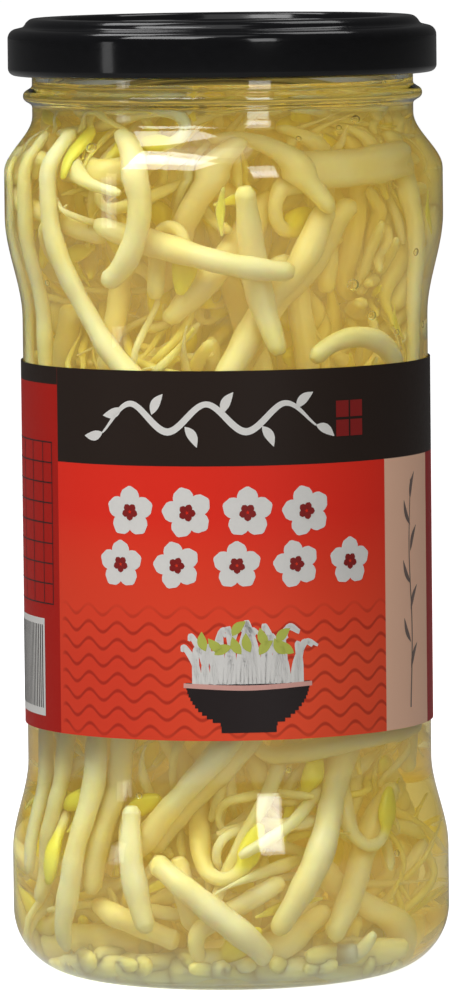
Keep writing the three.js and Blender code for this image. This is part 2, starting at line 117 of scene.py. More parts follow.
class Graph:
    """A small helper that builds one material's nodes."""

    def __init__(self, name: str) -> None:
        """Starts a material with only an output.

        Args:
            name: the material's name.
        """
        self.material = bpy.data.materials.new(name)
        self.material.use_nodes = True
        self.tree = self.material.node_tree
        self.tree.nodes.clear()
        self.output = self.tree.nodes.new("ShaderNodeOutputMaterial")

    def node(self, kind: str, **props: object) -> bpy.types.Node:
        """Adds a node and sets its properties.

        Args:
            kind: the node's type.
            props: its properties by name.

        Returns:
            The node.
        """
        made = self.tree.nodes.new(kind)
        for key, value in props.items():
            setattr(made, key, value)
        return made

    def link(self, source: bpy.types.NodeSocket, target: bpy.types.NodeSocket) -> None:
        """Joins two sockets."""
        self.tree.links.new(source, target)

    def put(self, socket: bpy.types.NodeSocket, value: object) -> None:
        """Feeds a socket from another socket or sets its value.

        Args:
            socket: the socket to feed.
            value: a socket or a plain value.
        """
        if isinstance(value, bpy.types.NodeSocket):
            self.link(value, socket)
        else:
            socket.default_value = value

    def math(self, operation: str, *values: object) -> bpy.types.NodeSocket:
        """Adds a maths node over one, two or three values.

        Args:
            operation: what it does.
            values: sockets or numbers.

        Returns:
            Its result.
        """
        made = self.node("ShaderNodeMath", operation=operation)
        for socket, value in zip(made.inputs, values):
            self.put(socket, value)
        return made.outputs[0]

    def place(self) -> tuple[bpy.types.NodeSocket, bpy.types.NodeSocket, bpy.types.NodeSocket]:
        """Gives the shaded point's place in the frame, in millimetres.

        Returns:
            Its x, y and z.
        """
        coords = self.node("ShaderNodeTexCoord")
        scaled = self.node("ShaderNodeVectorMath", operation="SCALE")
        self.link(coords.outputs["Object"], scaled.inputs[0])
        scaled.inputs["Scale"].default_value = 1000.0
        split = self.node("ShaderNodeSeparateXYZ")
        self.link(scaled.outputs[0], split.inputs[0])
        return split.outputs[0], split.outputs[1], split.outputs[2]

    def between(
        self, value: object, low: float, high: float, soft: float = 0.06
    ) -> bpy.types.NodeSocket:
        """Tells where a value lies between two others, with a soft edge.

        Args:
            value: the value to test.
            low: the lower bound.
            high: the upper bound.
            soft: the width of the edges.

        Returns:
            1 inside and 0 outside.
        """
        up = self.math("DIVIDE", self.math("SUBTRACT", value, low - soft / 2), soft)
        down = self.math("DIVIDE", self.math("SUBTRACT", high + soft / 2, value), soft)
        both = self.math("MINIMUM", up, down)
        clamped = self.node("ShaderNodeClamp")
        self.link(both, clamped.inputs[0])
        return clamped.outputs[0]

    def mix(self, factor: object, first: object, second: object) -> bpy.types.NodeSocket:
        """Blends two colours.

        Args:
            factor: 0 for the first and 1 for the second.
            first: a colour or a socket.
            second: a colour or a socket.

        Returns:
            The blend.
        """
        made = self.node("ShaderNodeMix", data_type="RGBA")
        self.put(made.inputs[0], factor)
        self.put(made.inputs[6], first)
        self.put(made.inputs[7], second)
        return made.outputs[2]

    def noise(
        self, scale: float, detail: float = 3.0, stretch: Optional[Sequence[float]] = None
    ) -> bpy.types.NodeSocket:
        """Makes a noise value over the piece.

        Args:
            scale: features in a metre.
            detail: how many finer layers it has.
            stretch: scales along x, y and z.

        Returns:
            The value, from 0 to 1.
        """
        coords = self.node("ShaderNodeTexCoord")
        vector = coords.outputs["Object"]
        if stretch is not None:
            shaped = self.node("ShaderNodeMapping")
            self.link(vector, shaped.inputs["Vector"])
            shaped.inputs["Scale"].default_value = stretch
            vector = shaped.outputs[0]
        made = self.node("ShaderNodeTexNoise")
        self.link(vector, made.inputs["Vector"])
        made.inputs["Scale"].default_value = scale
        made.inputs["Detail"].default_value = detail
        return made.outputs["Fac"]

    def ramp(self, value: bpy.types.NodeSocket, low: float, high: float) -> bpy.types.NodeSocket:
        """Stretches a 0 to 1 value to another range.

        Args:
            value: the value.
            low: what 0 becomes.
            high: what 1 becomes.

        Returns:
            The stretched value.
        """
        made = self.node("ShaderNodeMapRange")
        self.link(value, made.inputs["Value"])
        made.inputs["To Min"].default_value = low
        made.inputs["To Max"].default_value = high
        return made.outputs[0]

    def bump(
        self, height: bpy.types.NodeSocket, strength: float, distance: float
    ) -> bpy.types.NodeSocket:
        """Makes a bump normal from a height.

        Args:
            height: the height's socket.
            strength: how strong the bump is.
            distance: how high 1 stands, in metres.

        Returns:
            The normal.
        """
        made = self.node("ShaderNodeBump")
        made.inputs["Strength"].default_value = strength
        made.inputs["Distance"].default_value = distance
        self.link(height, made.inputs["Height"])
        return made.outputs["Normal"]

    def absorption(self, colour: Colour, density: float) -> bpy.types.NodeSocket:
        """Adds a volume that absorbs light.

        Args:
            colour: the colour that passes.
            density: how strongly it absorbs.

        Returns:
            The volume.
        """
        made = self.node("ShaderNodeVolumeAbsorption")
        made.inputs["Color"].default_value = colour
        made.inputs["Density"].default_value = density
        return made.outputs[0]

    def principled(self, **values: object) -> bpy.types.Node:
        """Adds the main shader.

        Args:
            values: its inputs by name, with _ for spaces.

        Returns:
            The node.
        """
        made = self.node("ShaderNodeBsdfPrincipled")
        for name, value in values.items():
            self.put(made.inputs[name.replace("_", " ")], value)
        return made

    def finish(self, shader: bpy.types.NodeSocket) -> bpy.types.Material:
        """Joins the last shader to the output and returns the material."""
        self.link(shader, self.output.inputs["Surface"])
        return self.material

    def clear(self, shader: bpy.types.NodeSocket, shade: Sequence[float]) -> bpy.types.Material:
        """Ends a clear material, through which light for shadows passes with only a tint.

        Args:
            shader: the clear shader.
            shade: the tint.

        Returns:
            The material.
        """
        path = self.node("ShaderNodeLightPath")
        passing = self.node("ShaderNodeBsdfTransparent")
        passing.inputs[0].default_value = shade
        mixed = self.node("ShaderNodeMixShader")
        self.link(path.outputs["Is Shadow Ray"], mixed.inputs[0])
        self.link(shader, mixed.inputs[1])
        self.link(passing.outputs[0], mixed.inputs[2])
        return self.finish(mixed.outputs[0])


@dataclass(frozen=True)
class GlassFinish:
    """Clear glass, a little wavy and faintly green in its depth."""

    tint: Colour = (0.985, 0.995, 0.987, 1.0)
    clearer: Colour = (0.99, 0.997, 0.992, 1.0)
    index: float = 1.5
    depth: Colour = (0.5, 0.84, 0.6, 1.0)
    density: float = 26.0
    shadow: Colour = (0.93, 0.96, 0.92, 1.0)

    def material(self) -> bpy.types.Material:
        """Builds the nodes.

        Returns:
            The material.
        """
        g = Graph("clear_glass")
        wobble = g.bump(g.noise(60.0, 2.0, (1.0, 1.0, 0.6)), 0.12, 0.0004)
        tint = g.mix(g.ramp(g.noise(25.0), 0.0, 1.0), self.tint, self.clearer)
        g.link(g.absorption(self.depth, self.density), g.output.inputs["Volume"])
        shader = g.principled(
            Base_Color=tint, Roughness=0.0, IOR=self.index, Transmission_Weight=1.0, Normal=wobble
        )
        return g.clear(shader.outputs[0], self.shadow)


@dataclass(frozen=True)
class BrineFinish:
    """Pale yellow brine: it absorbs blue, and a faint golden glow in its volume is painted light,
    standing for light scattered by its cloudiness, that brightens the shade between the sprouts.
    """

    tint: Colour = (0.988, 0.978, 0.91, 1.0)
    clearer: Colour = (0.992, 0.984, 0.93, 1.0)
    index: float = 1.34
    depth: Colour = (0.95, 0.79, 0.16, 1.0)
    density: float = 33.0
    # Painted light: the colour and strength of the golden glow that fills the brine and lifts the
    # shade between the sprouts.
    painted_volume_light: Colour = (1.0, 0.77, 0.2, 1.0)
    painted_volume_light_strength: float = 7.9
    shadow: Colour = (0.985, 0.94, 0.78, 1.0)

    def material(self) -> bpy.types.Material:
        """Builds the nodes.

        Returns:
            The material.
        """
        g = Graph("brine")
        cloud = g.ramp(g.noise(40.0, 2.0), 0.0, 1.0)
        tint = g.mix(cloud, self.tint, self.clearer)
        shader = g.principled(
            Base_Color=tint, Roughness=0.0, IOR=self.index, Transmission_Weight=1.0
        )
        # Painted light: the brine's volume glows golden so that the shaded gaps between the sprouts
        # look lit.
        painted_volume_light = g.node("ShaderNodeEmission")
        painted_volume_light.inputs["Color"].default_value = self.painted_volume_light
        painted_volume_light.inputs["Strength"].default_value = self.painted_volume_light_strength
        both = g.node("ShaderNodeAddShader")
        g.link(g.absorption(self.depth, self.density), both.inputs[0])
        g.link(painted_volume_light.outputs[0], both.inputs[1])
        g.link(both.outputs[0], g.output.inputs["Volume"])
        return g.clear(shader.outputs[0], self.shadow)


@dataclass(frozen=True)
class BubbleFinish:
    """Air in the brine, so light bends the other way at its skin."""

    tint: Colour = (0.97, 0.97, 0.93, 1.0)
    clearer: Colour = (1.0, 1.0, 0.97, 1.0)
    index: float = 0.75
    shadow: Colour = (0.98, 0.98, 0.96, 1.0)

    def material(self) -> bpy.types.Material:
        """Builds the nodes.

        Returns:
            The material.
        """
        g = Graph("air_bubble")
        tint = g.mix(g.noise(300.0), self.tint, self.clearer)
        shader = g.principled(
            Base_Color=tint, Roughness=0.0, IOR=self.index, Transmission_Weight=1.0
        )
        return g.clear(shader.outputs[0], self.shadow)


@dataclass(frozen=True)
class LacquerFinish:
    """The lid's glossy black lacquer."""

    dark: Colour = (0.0045, 0.0045, 0.005, 1.0)
    light: Colour = (0.008, 0.008, 0.009, 1.0)
    smoothest: float = 0.09
    roughest: float = 0.15

    def material(self) -> bpy.types.Material:
        """Builds the nodes.

        Returns:
            The material.
        """
        g = Graph("black_lacquer")
        mottle = g.noise(900.0, 2.0)
        shader = g.principled(
            Base_Color=g.mix(mottle, self.dark, self.light),
            Roughness=g.ramp(g.noise(180.0, 4.0), self.smoothest, self.roughest),
            IOR=1.5,
            Specular_IOR_Level=0.3,
            Coat_Weight=0.1,
            Coat_Roughness=0.05,
            Normal=g.bump(mottle, 0.08, 0.00006),
        )
        return g.finish(shader.outputs[0])


@dataclass(frozen=True)
class SealFinish:
    """The lid's pale sealing compound."""

    dark: Colour = (0.66, 0.62, 0.52, 1.0)
    light: Colour = (0.72, 0.68, 0.58, 1.0)

    def material(self) -> bpy.types.Material:
        """Builds the nodes.

        Returns:
            The material.
        """
        g = Graph("sealing_compound")
        mottle = g.noise(500.0, 3.0)
        colour = g.mix(mottle, self.dark, self.light)
        normal = g.bump(mottle, 0.2, 0.0001)
        shader = g.principled(Base_Color=colour, Roughness=0.55, Normal=normal)
        return g.finish(shader.outputs[0])


@dataclass(frozen=True)
class SproutFinish:
    """Pale flesh that light soaks into, with yellower roots and seed leaves, and a faint painted
    golden glow that lifts its shade.
    """

    pale: Colour = (0.84, 0.765, 0.575, 1.0)
    aged: Colour = (0.84, 0.7, 0.36, 1.0)
    blotch: Colour = (0.82, 0.66, 0.3, 1.0)
    root: Colour = (0.86, 0.68, 0.2, 1.0)
    leaf: Colour = (0.93, 0.76, 0.12, 1.0)
    green_leaf: Colour = (0.8, 0.72, 0.12, 1.0)
    # Painted light: a faint golden glow that brightens the shaded sides of the sprouts.
    painted_flesh_light: Colour = (1.0, 0.8, 0.34, 1.0)
    painted_flesh_light_strength: float = 0.03

    def material(self) -> bpy.types.Material:
        """Builds the nodes, which read where the heads, roots and older stretches are.

        Returns:
            The material.
        """
        g = Graph("sprout_flesh")
        head, root, shade = (
            g.node("ShaderNodeAttribute", attribute_name=name).outputs["Fac"]
            for name in ("head", "root", "shade")
        )
        blotch = g.noise(220.0, 4.0)
        flesh = g.mix(shade, self.pale, self.aged)
        stem = g.mix(g.ramp(blotch, 0.0, 0.3), flesh, self.blotch)
        rooted = g.mix(root, stem, self.root)
        leaf = g.mix(blotch, self.leaf, self.green_leaf)
        shader = g.principled(
            Base_Color=g.mix(head, rooted, leaf),
            Roughness=g.ramp(blotch, 0.25, 0.45),
            Subsurface_Weight=0.85,
            Subsurface_Radius=(0.006, 0.0045, 0.002),
            Subsurface_Scale=1.0,
            IOR=1.38,
            # Painted light: the flesh glows faintly golden to lift its shade.
            Emission_Color=self.painted_flesh_light,
            Emission_Strength=self.painted_flesh_light_strength,
            Normal=g.bump(g.noise(900.0, 4.0), 0.25, 0.00025),
        )
        return g.finish(shader.outputs[0])


@dataclass(frozen=True)
class PaperFinish:
    """Red paper with a black band, waves tone on tone, a ruled column and a pale strip."""

    red: Colour = (0.9, 0.034, 0.017, 1.0)
    low_red: Colour = (0.96, 0.095, 0.036, 1.0)
    low_left_red: Colour = (0.82, 0.06, 0.026, 1.0)
    wave: Colour = (0.3, 0.01, 0.008, 1.0)
    column: Colour = (0.48, 0.015, 0.009, 1.0)
    strip: Colour = (0.98, 0.6, 0.42, 1.0)
    edge: Colour = (0.4, 0.012, 0.012, 1.0)
    black: Colour = (0.027, 0.017, 0.013, 1.0)
    far: float = 200.0
    crisp: float = 0.08
    wave_pitch: float = 2.6
    column_cap: float = 92.3
    edge_right: float = 46.5

    def _waves(
        self, g: Graph, u: bpy.types.NodeSocket, z: bpy.types.NodeSocket
    ) -> bpy.types.NodeSocket:
        """How much of the waves' colour shows at a spot.

        Args:
            g: the material's graph.
            u: the distance round the label from the middle of its front.
            z: the height.

        Returns:
            0 off the waves and 1 on their crests.
        """
        swing = g.math("MULTIPLY", g.math("SINE", g.math("MULTIPLY", u, 1.15)), 0.3)
        phase = g.math("ADD", g.math("DIVIDE", z, self.wave_pitch), swing)
        crest = g.between(g.math("FRACT", phase), 0.4, 0.6, 0.1)
        field_up = g.math("MULTIPLY", crest, g.between(z, LABEL.bottom, 58.0, 4.0))
        return g.math("MULTIPLY", field_up, g.between(u, -29.0, 60.0, 1.0))

    def material(self) -> bpy.types.Material:
        """Builds the nodes.

        Returns:
            The material.
        """
        g = Graph("label_paper")
        x, y, z = g.place()
        around = g.math("ARCTAN2", x, g.math("MULTIPLY", y, -1.0))
        u = g.math("MULTIPLY", around, LABEL.face_radius())
        low = g.between(z, -100.0, 62.0, 22.0)
        left = g.between(u, -self.far, -6.0, 22.0)
        colour = g.mix(low, self.red, self.low_red)
        colour = g.mix(g.math("MULTIPLY", left, low), colour, self.low_left_red)
        colour = g.mix(g.math("MULTIPLY", self._waves(g, u, z), 0.55), colour, self.wave)
        column = g.between(u, -130.0, LABEL.column_edge, self.crisp)
        colour = g.mix(column, colour, self.column)
        strip = g.between(u, LABEL.strip_left, LABEL.strip_right, self.crisp)
        colour = g.mix(strip, colour, self.strip)
        past = g.between(u, LABEL.strip_right, self.edge_right, self.crisp)
        colour = g.mix(past, colour, self.edge)
        above = g.between(z, LABEL.band_bottom, self.far, self.crisp)
        beside = g.between(u, LABEL.column_edge, self.far, self.crisp)
        band = g.math("MULTIPLY", above, beside)
        narrow = g.math("MULTIPLY", g.between(z, self.column_cap, self.far, self.crisp), column)
        colour = g.mix(g.math("MAXIMUM", band, narrow), colour, self.black)
        grain = g.noise(1500.0, 3.0)
        shader = g.principled(
            Base_Color=colour,
            Roughness=g.ramp(grain, 0.4, 0.52),
            Specular_IOR_Level=0.15,
            Normal=g.bump(grain, 0.06, 0.00003),
        )
        return g.finish(shader.outputs[0])


@dataclass(frozen=True)
class InkFinish:
    """One flat printing ink."""

    name: str
    colour: Colour
    dip: float = 0.93

    def material(self) -> bpy.types.Material:
        """Builds the nodes.

        Returns:
            The material.
        """
        g = Graph(self.name)
        grain = g.noise(1800.0, 3.0)
        deep = tuple(c * self.dip for c in self.colour[:3]) + (1.0,)
        shader = g.principled(
            Base_Color=g.mix(grain, self.colour, deep),
            Roughness=g.ramp(grain, 0.36, 0.48),
            Specular_IOR_Level=0.35,
        )
        return g.finish(shader.outputs[0])


@dataclass(frozen=True)
class FloorFinish:
    """A plain floor: white to the eye, and dim where the glass and lid reflect it, save a painted
    light patch close round the jar, hidden from the camera's direct view, that glows brighter in
    the glass and onto the jar's foot.
    """

    seen_dark: Colour = (0.6, 0.6, 0.596, 1.0)
    seen_light: Colour = (0.62, 0.62, 0.616, 1.0)
    reflected: Colour = (0.3, 0.3, 0.298, 1.0)
    near_light: float = 0.88
    far_light: float = 1.0
    room: float = 0.06
    # Painted light: how much brighter the floor glows close round the jar, for every ray but the
    # camera's own.
    painted_light_under_jar: float = 0.4

    def material(self) -> bpy.types.Material:
        """Builds the nodes, which set apart what is seen at first hand.

        Returns:
            The material.
        """
        g = Graph("studio_floor")
        x, y, _ = g.place()
        seen_first = g.node("ShaderNodeLightPath").outputs["Is Camera Ray"]
        pale = g.mix(g.noise(3.0), self.seen_dark, self.seen_light)
        squares = g.math("ADD", g.math("MULTIPLY", x, x), g.math("MULTIPLY", y, y))
        off = g.math("SQRT", squares)
        seen = g.ramp(g.between(off, -900.0, 450.0, 700.0), self.far_light, self.near_light)
        # Painted light: a brighter patch of floor close round the jar, seen only in and through the
        # glass and as light on the jar's foot.
        close = g.math("MULTIPLY", self.painted_light_under_jar, g.between(off, -900.0, 42.0, 20.0))
        lit = g.math("ADD", self.room, close)
        lift = g.math("MULTIPLY", seen_first, g.math("SUBTRACT", seen, lit))
        shader = g.principled(
            Base_Color=g.mix(seen_first, self.reflected, pale),
            Roughness=0.9,
            Specular_IOR_Level=0.1,
            Emission_Color=(1.0, 1.0, 1.0, 1.0),
            Emission_Strength=g.math("ADD", lift, lit),
        )
        return g.finish(shader.outputs[0])


class Finishes:
    """Every material of the scene, made once."""

    def __init__(self) -> None:
        """Makes the materials."""
        self.glass = GlassFinish().material()
        self.brine = BrineFinish().material()
        self.bubble = BubbleFinish().material()
        self.lid = LacquerFinish().material()
        self.seal = SealFinish().material()
        self.sprout = SproutFinish().material()
        self.label = PaperFinish().material()
        self.white_ink = InkFinish("ink_white", (0.86, 0.84, 0.8, 1.0)).material()
        self.leaf_ink = InkFinish("ink_leaf", (0.55, 0.6, 0.1, 1.0)).material()
        self.dark_ink = InkFinish("ink_dark", (0.02, 0.012, 0.012, 1.0)).material()
        self.deep_red_ink = InkFinish("ink_deep_red", (0.28, 0.012, 0.01, 1.0)).material()
        self.pink_ink = InkFinish("ink_pink", (0.8, 0.42, 0.36, 1.0)).material()
        self.grey_ink = InkFinish("ink_grey", (0.2, 0.14, 0.12, 1.0)).material()
        self.studio = FloorFinish().material()


def show(
    name: str, mesh: bpy.types.Mesh, material: bpy.types.Material, body: Body
) -> bpy.types.Object:
    """Puts a mesh in the scene as a smooth-shaded piece that rides on a body.

    Args:
        name: the piece's name.
        mesh: its mesh, in metres in the frame.
        material: what it is made of.
        body: the body that it moves with.

    Returns:
        The new object, at the origin.
    """
    mesh.materials.clear()
    mesh.materials.append(material)
    obj = bpy.data.objects.new(name, mesh)
    bpy.context.scene.collection.objects.link(obj)
    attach(obj, body.value)
    LOG.info("%s: %d faces", name, len(mesh.polygons))
    return obj


def mesh_of(name: str, points: np.ndarray, faces: Iterable[Sequence[int]]) -> bpy.types.Mesh:
    """Makes a smooth mesh.

    Args:
        name: the mesh's name.
        points: its points in millimetres.
        faces: its faces.

    Returns:
        The mesh, in metres.
    """
    mesh = bpy.data.meshes.new(name)
    mesh.from_pydata((np.asarray(points) * MM).tolist(), [], list(faces))
    mesh.shade_smooth()
    return mesh


def turned(name: str, outline: Sequence[Point2], sides: int, sharp: float = 50.0) -> bpy.types.Mesh:
    """Makes a solid of revolution.

    Args:
        name: the mesh's name.
        outline: [radius, height] points that run up the outside and down the inside.
        sides: how many sides it has.
        sharp: the angle in degrees from which an edge stays sharp.

    Returns:
        The mesh.
    """
    bm = bmesh.new()
    verts = [bm.verts.new((r * MM, 0.0, z * MM)) for r, z in outline]
    edges = [bm.edges.new(pair) for pair in zip(verts, verts[1:])]
    if outline[0][0] > 1e-6:
        edges.append(bm.edges.new((verts[-1], verts[0])))
    bmesh.ops.spin(
        bm,
        geom=verts + edges,
        cent=(0.0, 0.0, 0.0),
        axis=(0.0, 0.0, 1.0),
        angle=2 * math.pi,
        steps=sides,
        use_merge=True,
        use_duplicate=False,
    )
    bmesh.ops.remove_doubles(bm, verts=bm.verts, dist=1e-7)
    bmesh.ops.recalc_face_normals(bm, faces=bm.faces)
    mesh = bpy.data.meshes.new(name)
    bm.to_mesh(mesh)
    bm.free()
    mesh.shade_smooth()
    mesh.set_sharp_from_angle(angle=math.radians(sharp))
    return mesh


def rounded(outline: Sequence[Point2], radius: float, steps: int = 3) -> list[Point2]:
    """Rounds each corner of an open outline with a small curve.

    Args:
        outline: the points.
        radius: how far from a corner its curve starts.
        steps: how many pieces a curve has.

    Returns:
        The rounded outline.
    """
    points = [outline[0]]
    for before, corner, after in zip(outline, outline[1:], outline[2:]):
        a, b, c = Vector(before), Vector(corner), Vector(after)
        reach = min(radius, (a - b).length * 0.45, (c - b).length * 0.45)
        turn = (b - a).angle(c - b, 0.0)
        if reach < 1e-4 or turn < math.radians(12):
            points.append(corner)
            continue
        start, end = b + (a - b).normalized() * reach, b + (c - b).normalized() * reach
        for i in range(steps + 1):
            t = i / steps
            p = start * (1 - t) ** 2 + b * 2 * t * (1 - t) + end * t**2
            points.append((p.x, p.y))
    points.append(outline[-1])
    return points


@dataclass(frozen=True)
class Jar:
    """The jar's glass and the brine in it, with their sizes in millimetres."""

    bulge_radius: float = 33.8
    panel_radius: float = 31.25
    neck_radius: float = 29.35
    bead_radius: float = 30.75
    wall: float = 2.3
    heel_arc: float = 10.0
    inner_heel_arc: float = 7.7
    foot_inner: float = 22.4
    base_top: float = 2.8
    push_up: float = 0.8
    lower_bulge_top: float = 19.0
    panel_bottom: float = 33.0
    panel_top: float = 101.5
    upper_bulge_bottom: float = 117.0
    upper_bulge_top: float = 124.0
    neck_bottom: float = 132.5
    bead_height: float = 135.6
    bead_half: float = 1.4
    rim_height: float = 145.9
    ball: float = 2.9
    brine_level: float = 138.0
    brine_wet: float = 0.03
    around: int = 160

    def body_radius(self, z: float) -> float:
        """Finds the body's outer radius: two bulges with a recessed panel between them.

        Args:
            z: the height.

        Returns:
            The radius.
        """
        hollow = self.bulge_radius - self.panel_radius
        below = smooth((z - self.lower_bulge_top) / (self.panel_bottom - self.lower_bulge_top))
        above = smooth((z - self.panel_top) / (self.upper_bulge_bottom - self.panel_top))
        shoulder = smooth((z - self.upper_bulge_top) / (self.neck_bottom - self.upper_bulge_top))
        drop = (self.bulge_radius - self.neck_radius) * shoulder
        return self.bulge_radius - hollow * (below - above) - drop

    def inner_radius(self, z: float) -> float:
        """Finds the inner radius of the glass.

        Args:
            z: the height.

        Returns:
            The radius.
        """
        drop = min(max(self.base_top + self.inner_heel_arc - z, 0.0), self.inner_heel_arc)
        tuck = self.inner_heel_arc - math.sqrt(self.inner_heel_arc**2 - drop**2)
        return self.body_radius(z) - self.wall - tuck

    def bed_radius(self, z: float) -> float:
        """Finds the wall that a stem can press against, as a ball of its thickness feels it.

        Args:
            z: the height.

        Returns:
            The wall's radius.
        """
        least = math.inf
        for step in range(-6, 7):
            rise = self.ball * step / 6
            least = min(least, self.inner_radius(z + rise) - math.sqrt(self.ball**2 - rise**2))
        return least + self.ball

    def body_heights(self, steps: int) -> list[float]:
        """Lists the heights of the blends between the body's straight stretches.

        Args:
            steps: how many pieces a blend has.

        Returns:
            The heights.
        """
        blends = (
            (self.lower_bulge_top, self.panel_bottom),
            (self.panel_top, self.upper_bulge_bottom),
            (self.upper_bulge_top, self.neck_bottom),
        )
        return [low + (high - low) * i / steps for low, high in blends for i in range(steps + 1)]

    def outline(self, steps: int) -> list[Point2]:
        """Draws the glass's section, from the middle of its underside to the middle of its floor.

        Args:
            steps: how many pieces a blend has.

        Returns:
            The outline.
        """
        foot_outer = self.bulge_radius - self.heel_arc
        foot = [
            (0.0, self.push_up),
            (self.foot_inner - 3.2, self.push_up * 0.9),
            (self.foot_inner, 0.0),
            (foot_outer, 0.0),
        ]
        heel = arc(foot_outer, self.heel_arc, self.heel_arc, -90, 0, 20)[1:]
        outside = [(self.body_radius(z), z) for z in self.body_heights(steps)]
        ball = self.bead_half * 0.7
        bead = [
            (self.neck_radius, self.neck_bottom),
            (self.neck_radius, self.bead_height - self.bead_half),
            *arc(self.bead_radius - ball, self.bead_height, ball, -70, 70, 8),
            (self.neck_radius, self.bead_height + self.bead_half),
            (self.neck_radius, self.rim_height - 3),
        ]
        half = self.wall / 2
        rim = arc(self.neck_radius - half, self.rim_height - half, half, 0, 180, 12)
        inside = [(self.inner_radius(z), z) for z in reversed(self.body_heights(steps))]
        inner_heel = self.bulge_radius - self.wall - self.inner_heel_arc
        middle = self.base_top + self.inner_heel_arc
        well = arc(inner_heel, middle, self.inner_heel_arc, 0, -90, 18)
        return [
            *rounded(foot, 0.8),
            *heel,
            *outside,
            *rounded(bead, 0.35)[1:-1],
            *rim,
            *inside,
            *well[:-1],
            (inner_heel, self.base_top),
            (0.0, self.base_top + 0.5),
        ]

    def build_glass(self, finishes: Finishes) -> None:
        """Builds the glass, with the ridges of its thread round the neck.

        Args:
            finishes: the scene's materials.
        """
        mesh = turned("jar_glass", self.outline(14), self.around, 80)
        bm = bmesh.new()
        bm.from_mesh(mesh)
        for i in range(LID.lugs):
            self.add_ridge(bm, 2 * math.pi * i / LID.lugs)
        bm.to_mesh(mesh)
        bm.free()
        mesh.shade_smooth()
        piece = show("jar_glass", mesh, finishes.glass, Body.JAR)
        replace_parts(piece, "jar")

    def add_ridge(self, bm: bmesh.types.BMesh, start: float) -> None:
        """Adds one ridge of the thread: a short round-topped bar that climbs round the neck.

        Args:
            bm: the glass's mesh.
            start: the angle where the ridge starts.
        """
        steps, sunk = 28, 0.05
        section = arc(0.0, 0.0, 1.0, -90, 90, 8)
        rings = []
        for i in range(steps + 1):
            t = i / steps
            taper = math.sqrt(max(0.0, 1 - (2 * t - 1) ** 8)) * 0.95 + 0.05
            angle = start + LID.thread_span * t
            ring = []
            for out, up in section:
                radius = self.neck_radius - sunk + out * LID.thread_stand_out * taper
                z = LID.thread_low + 0.75 + LID.thread_rise * t + up * 0.72 * taper
                spot = (radius * math.cos(angle), radius * math.sin(angle), z)
                ring.append(bm.verts.new([value * MM for value in spot]))
            rings.append(ring)
        for a, b in zip(rings, rings[1:]):
            for k in range(len(a)):
                bm.faces.new((a[k - 1], b[k - 1], b[k], a[k]))
        bm.faces.new(rings[0])
        bm.faces.new(rings[-1][::-1])

    def build_brine(self, finishes: Finishes) -> None:
        """Builds the brine, which wets the glass, so its skin lies just inside the inner face.

        Args:
            finishes: the scene's materials.
        """
        wet, level = self.brine_wet, self.brine_level
        heel = self.bulge_radius - self.wall - self.inner_heel_arc
        middle = self.base_top + self.inner_heel_arc
        outline = [
            (0.0, self.base_top + 0.45),
            *arc(heel, middle, self.inner_heel_arc + wet, -90, 0, 18),
            *[(self.inner_radius(z) + wet, z) for z in self.body_heights(14)],
            (self.inner_radius(level) + wet, level - 0.2),
            (self.inner_radius(level) - 0.8, level - 0.8),
            (0.0, level - 0.8),
        ]
        mesh = turned("brine_liquid", outline, self.around, 60)
        piece = show("brine_liquid", mesh, finishes.brine, Body.JAR)
        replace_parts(piece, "brine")

    def build(self, finishes: Finishes) -> None:
        """Builds the glass and then the brine."""
        self.build_glass(finishes)
        self.build_brine(finishes)


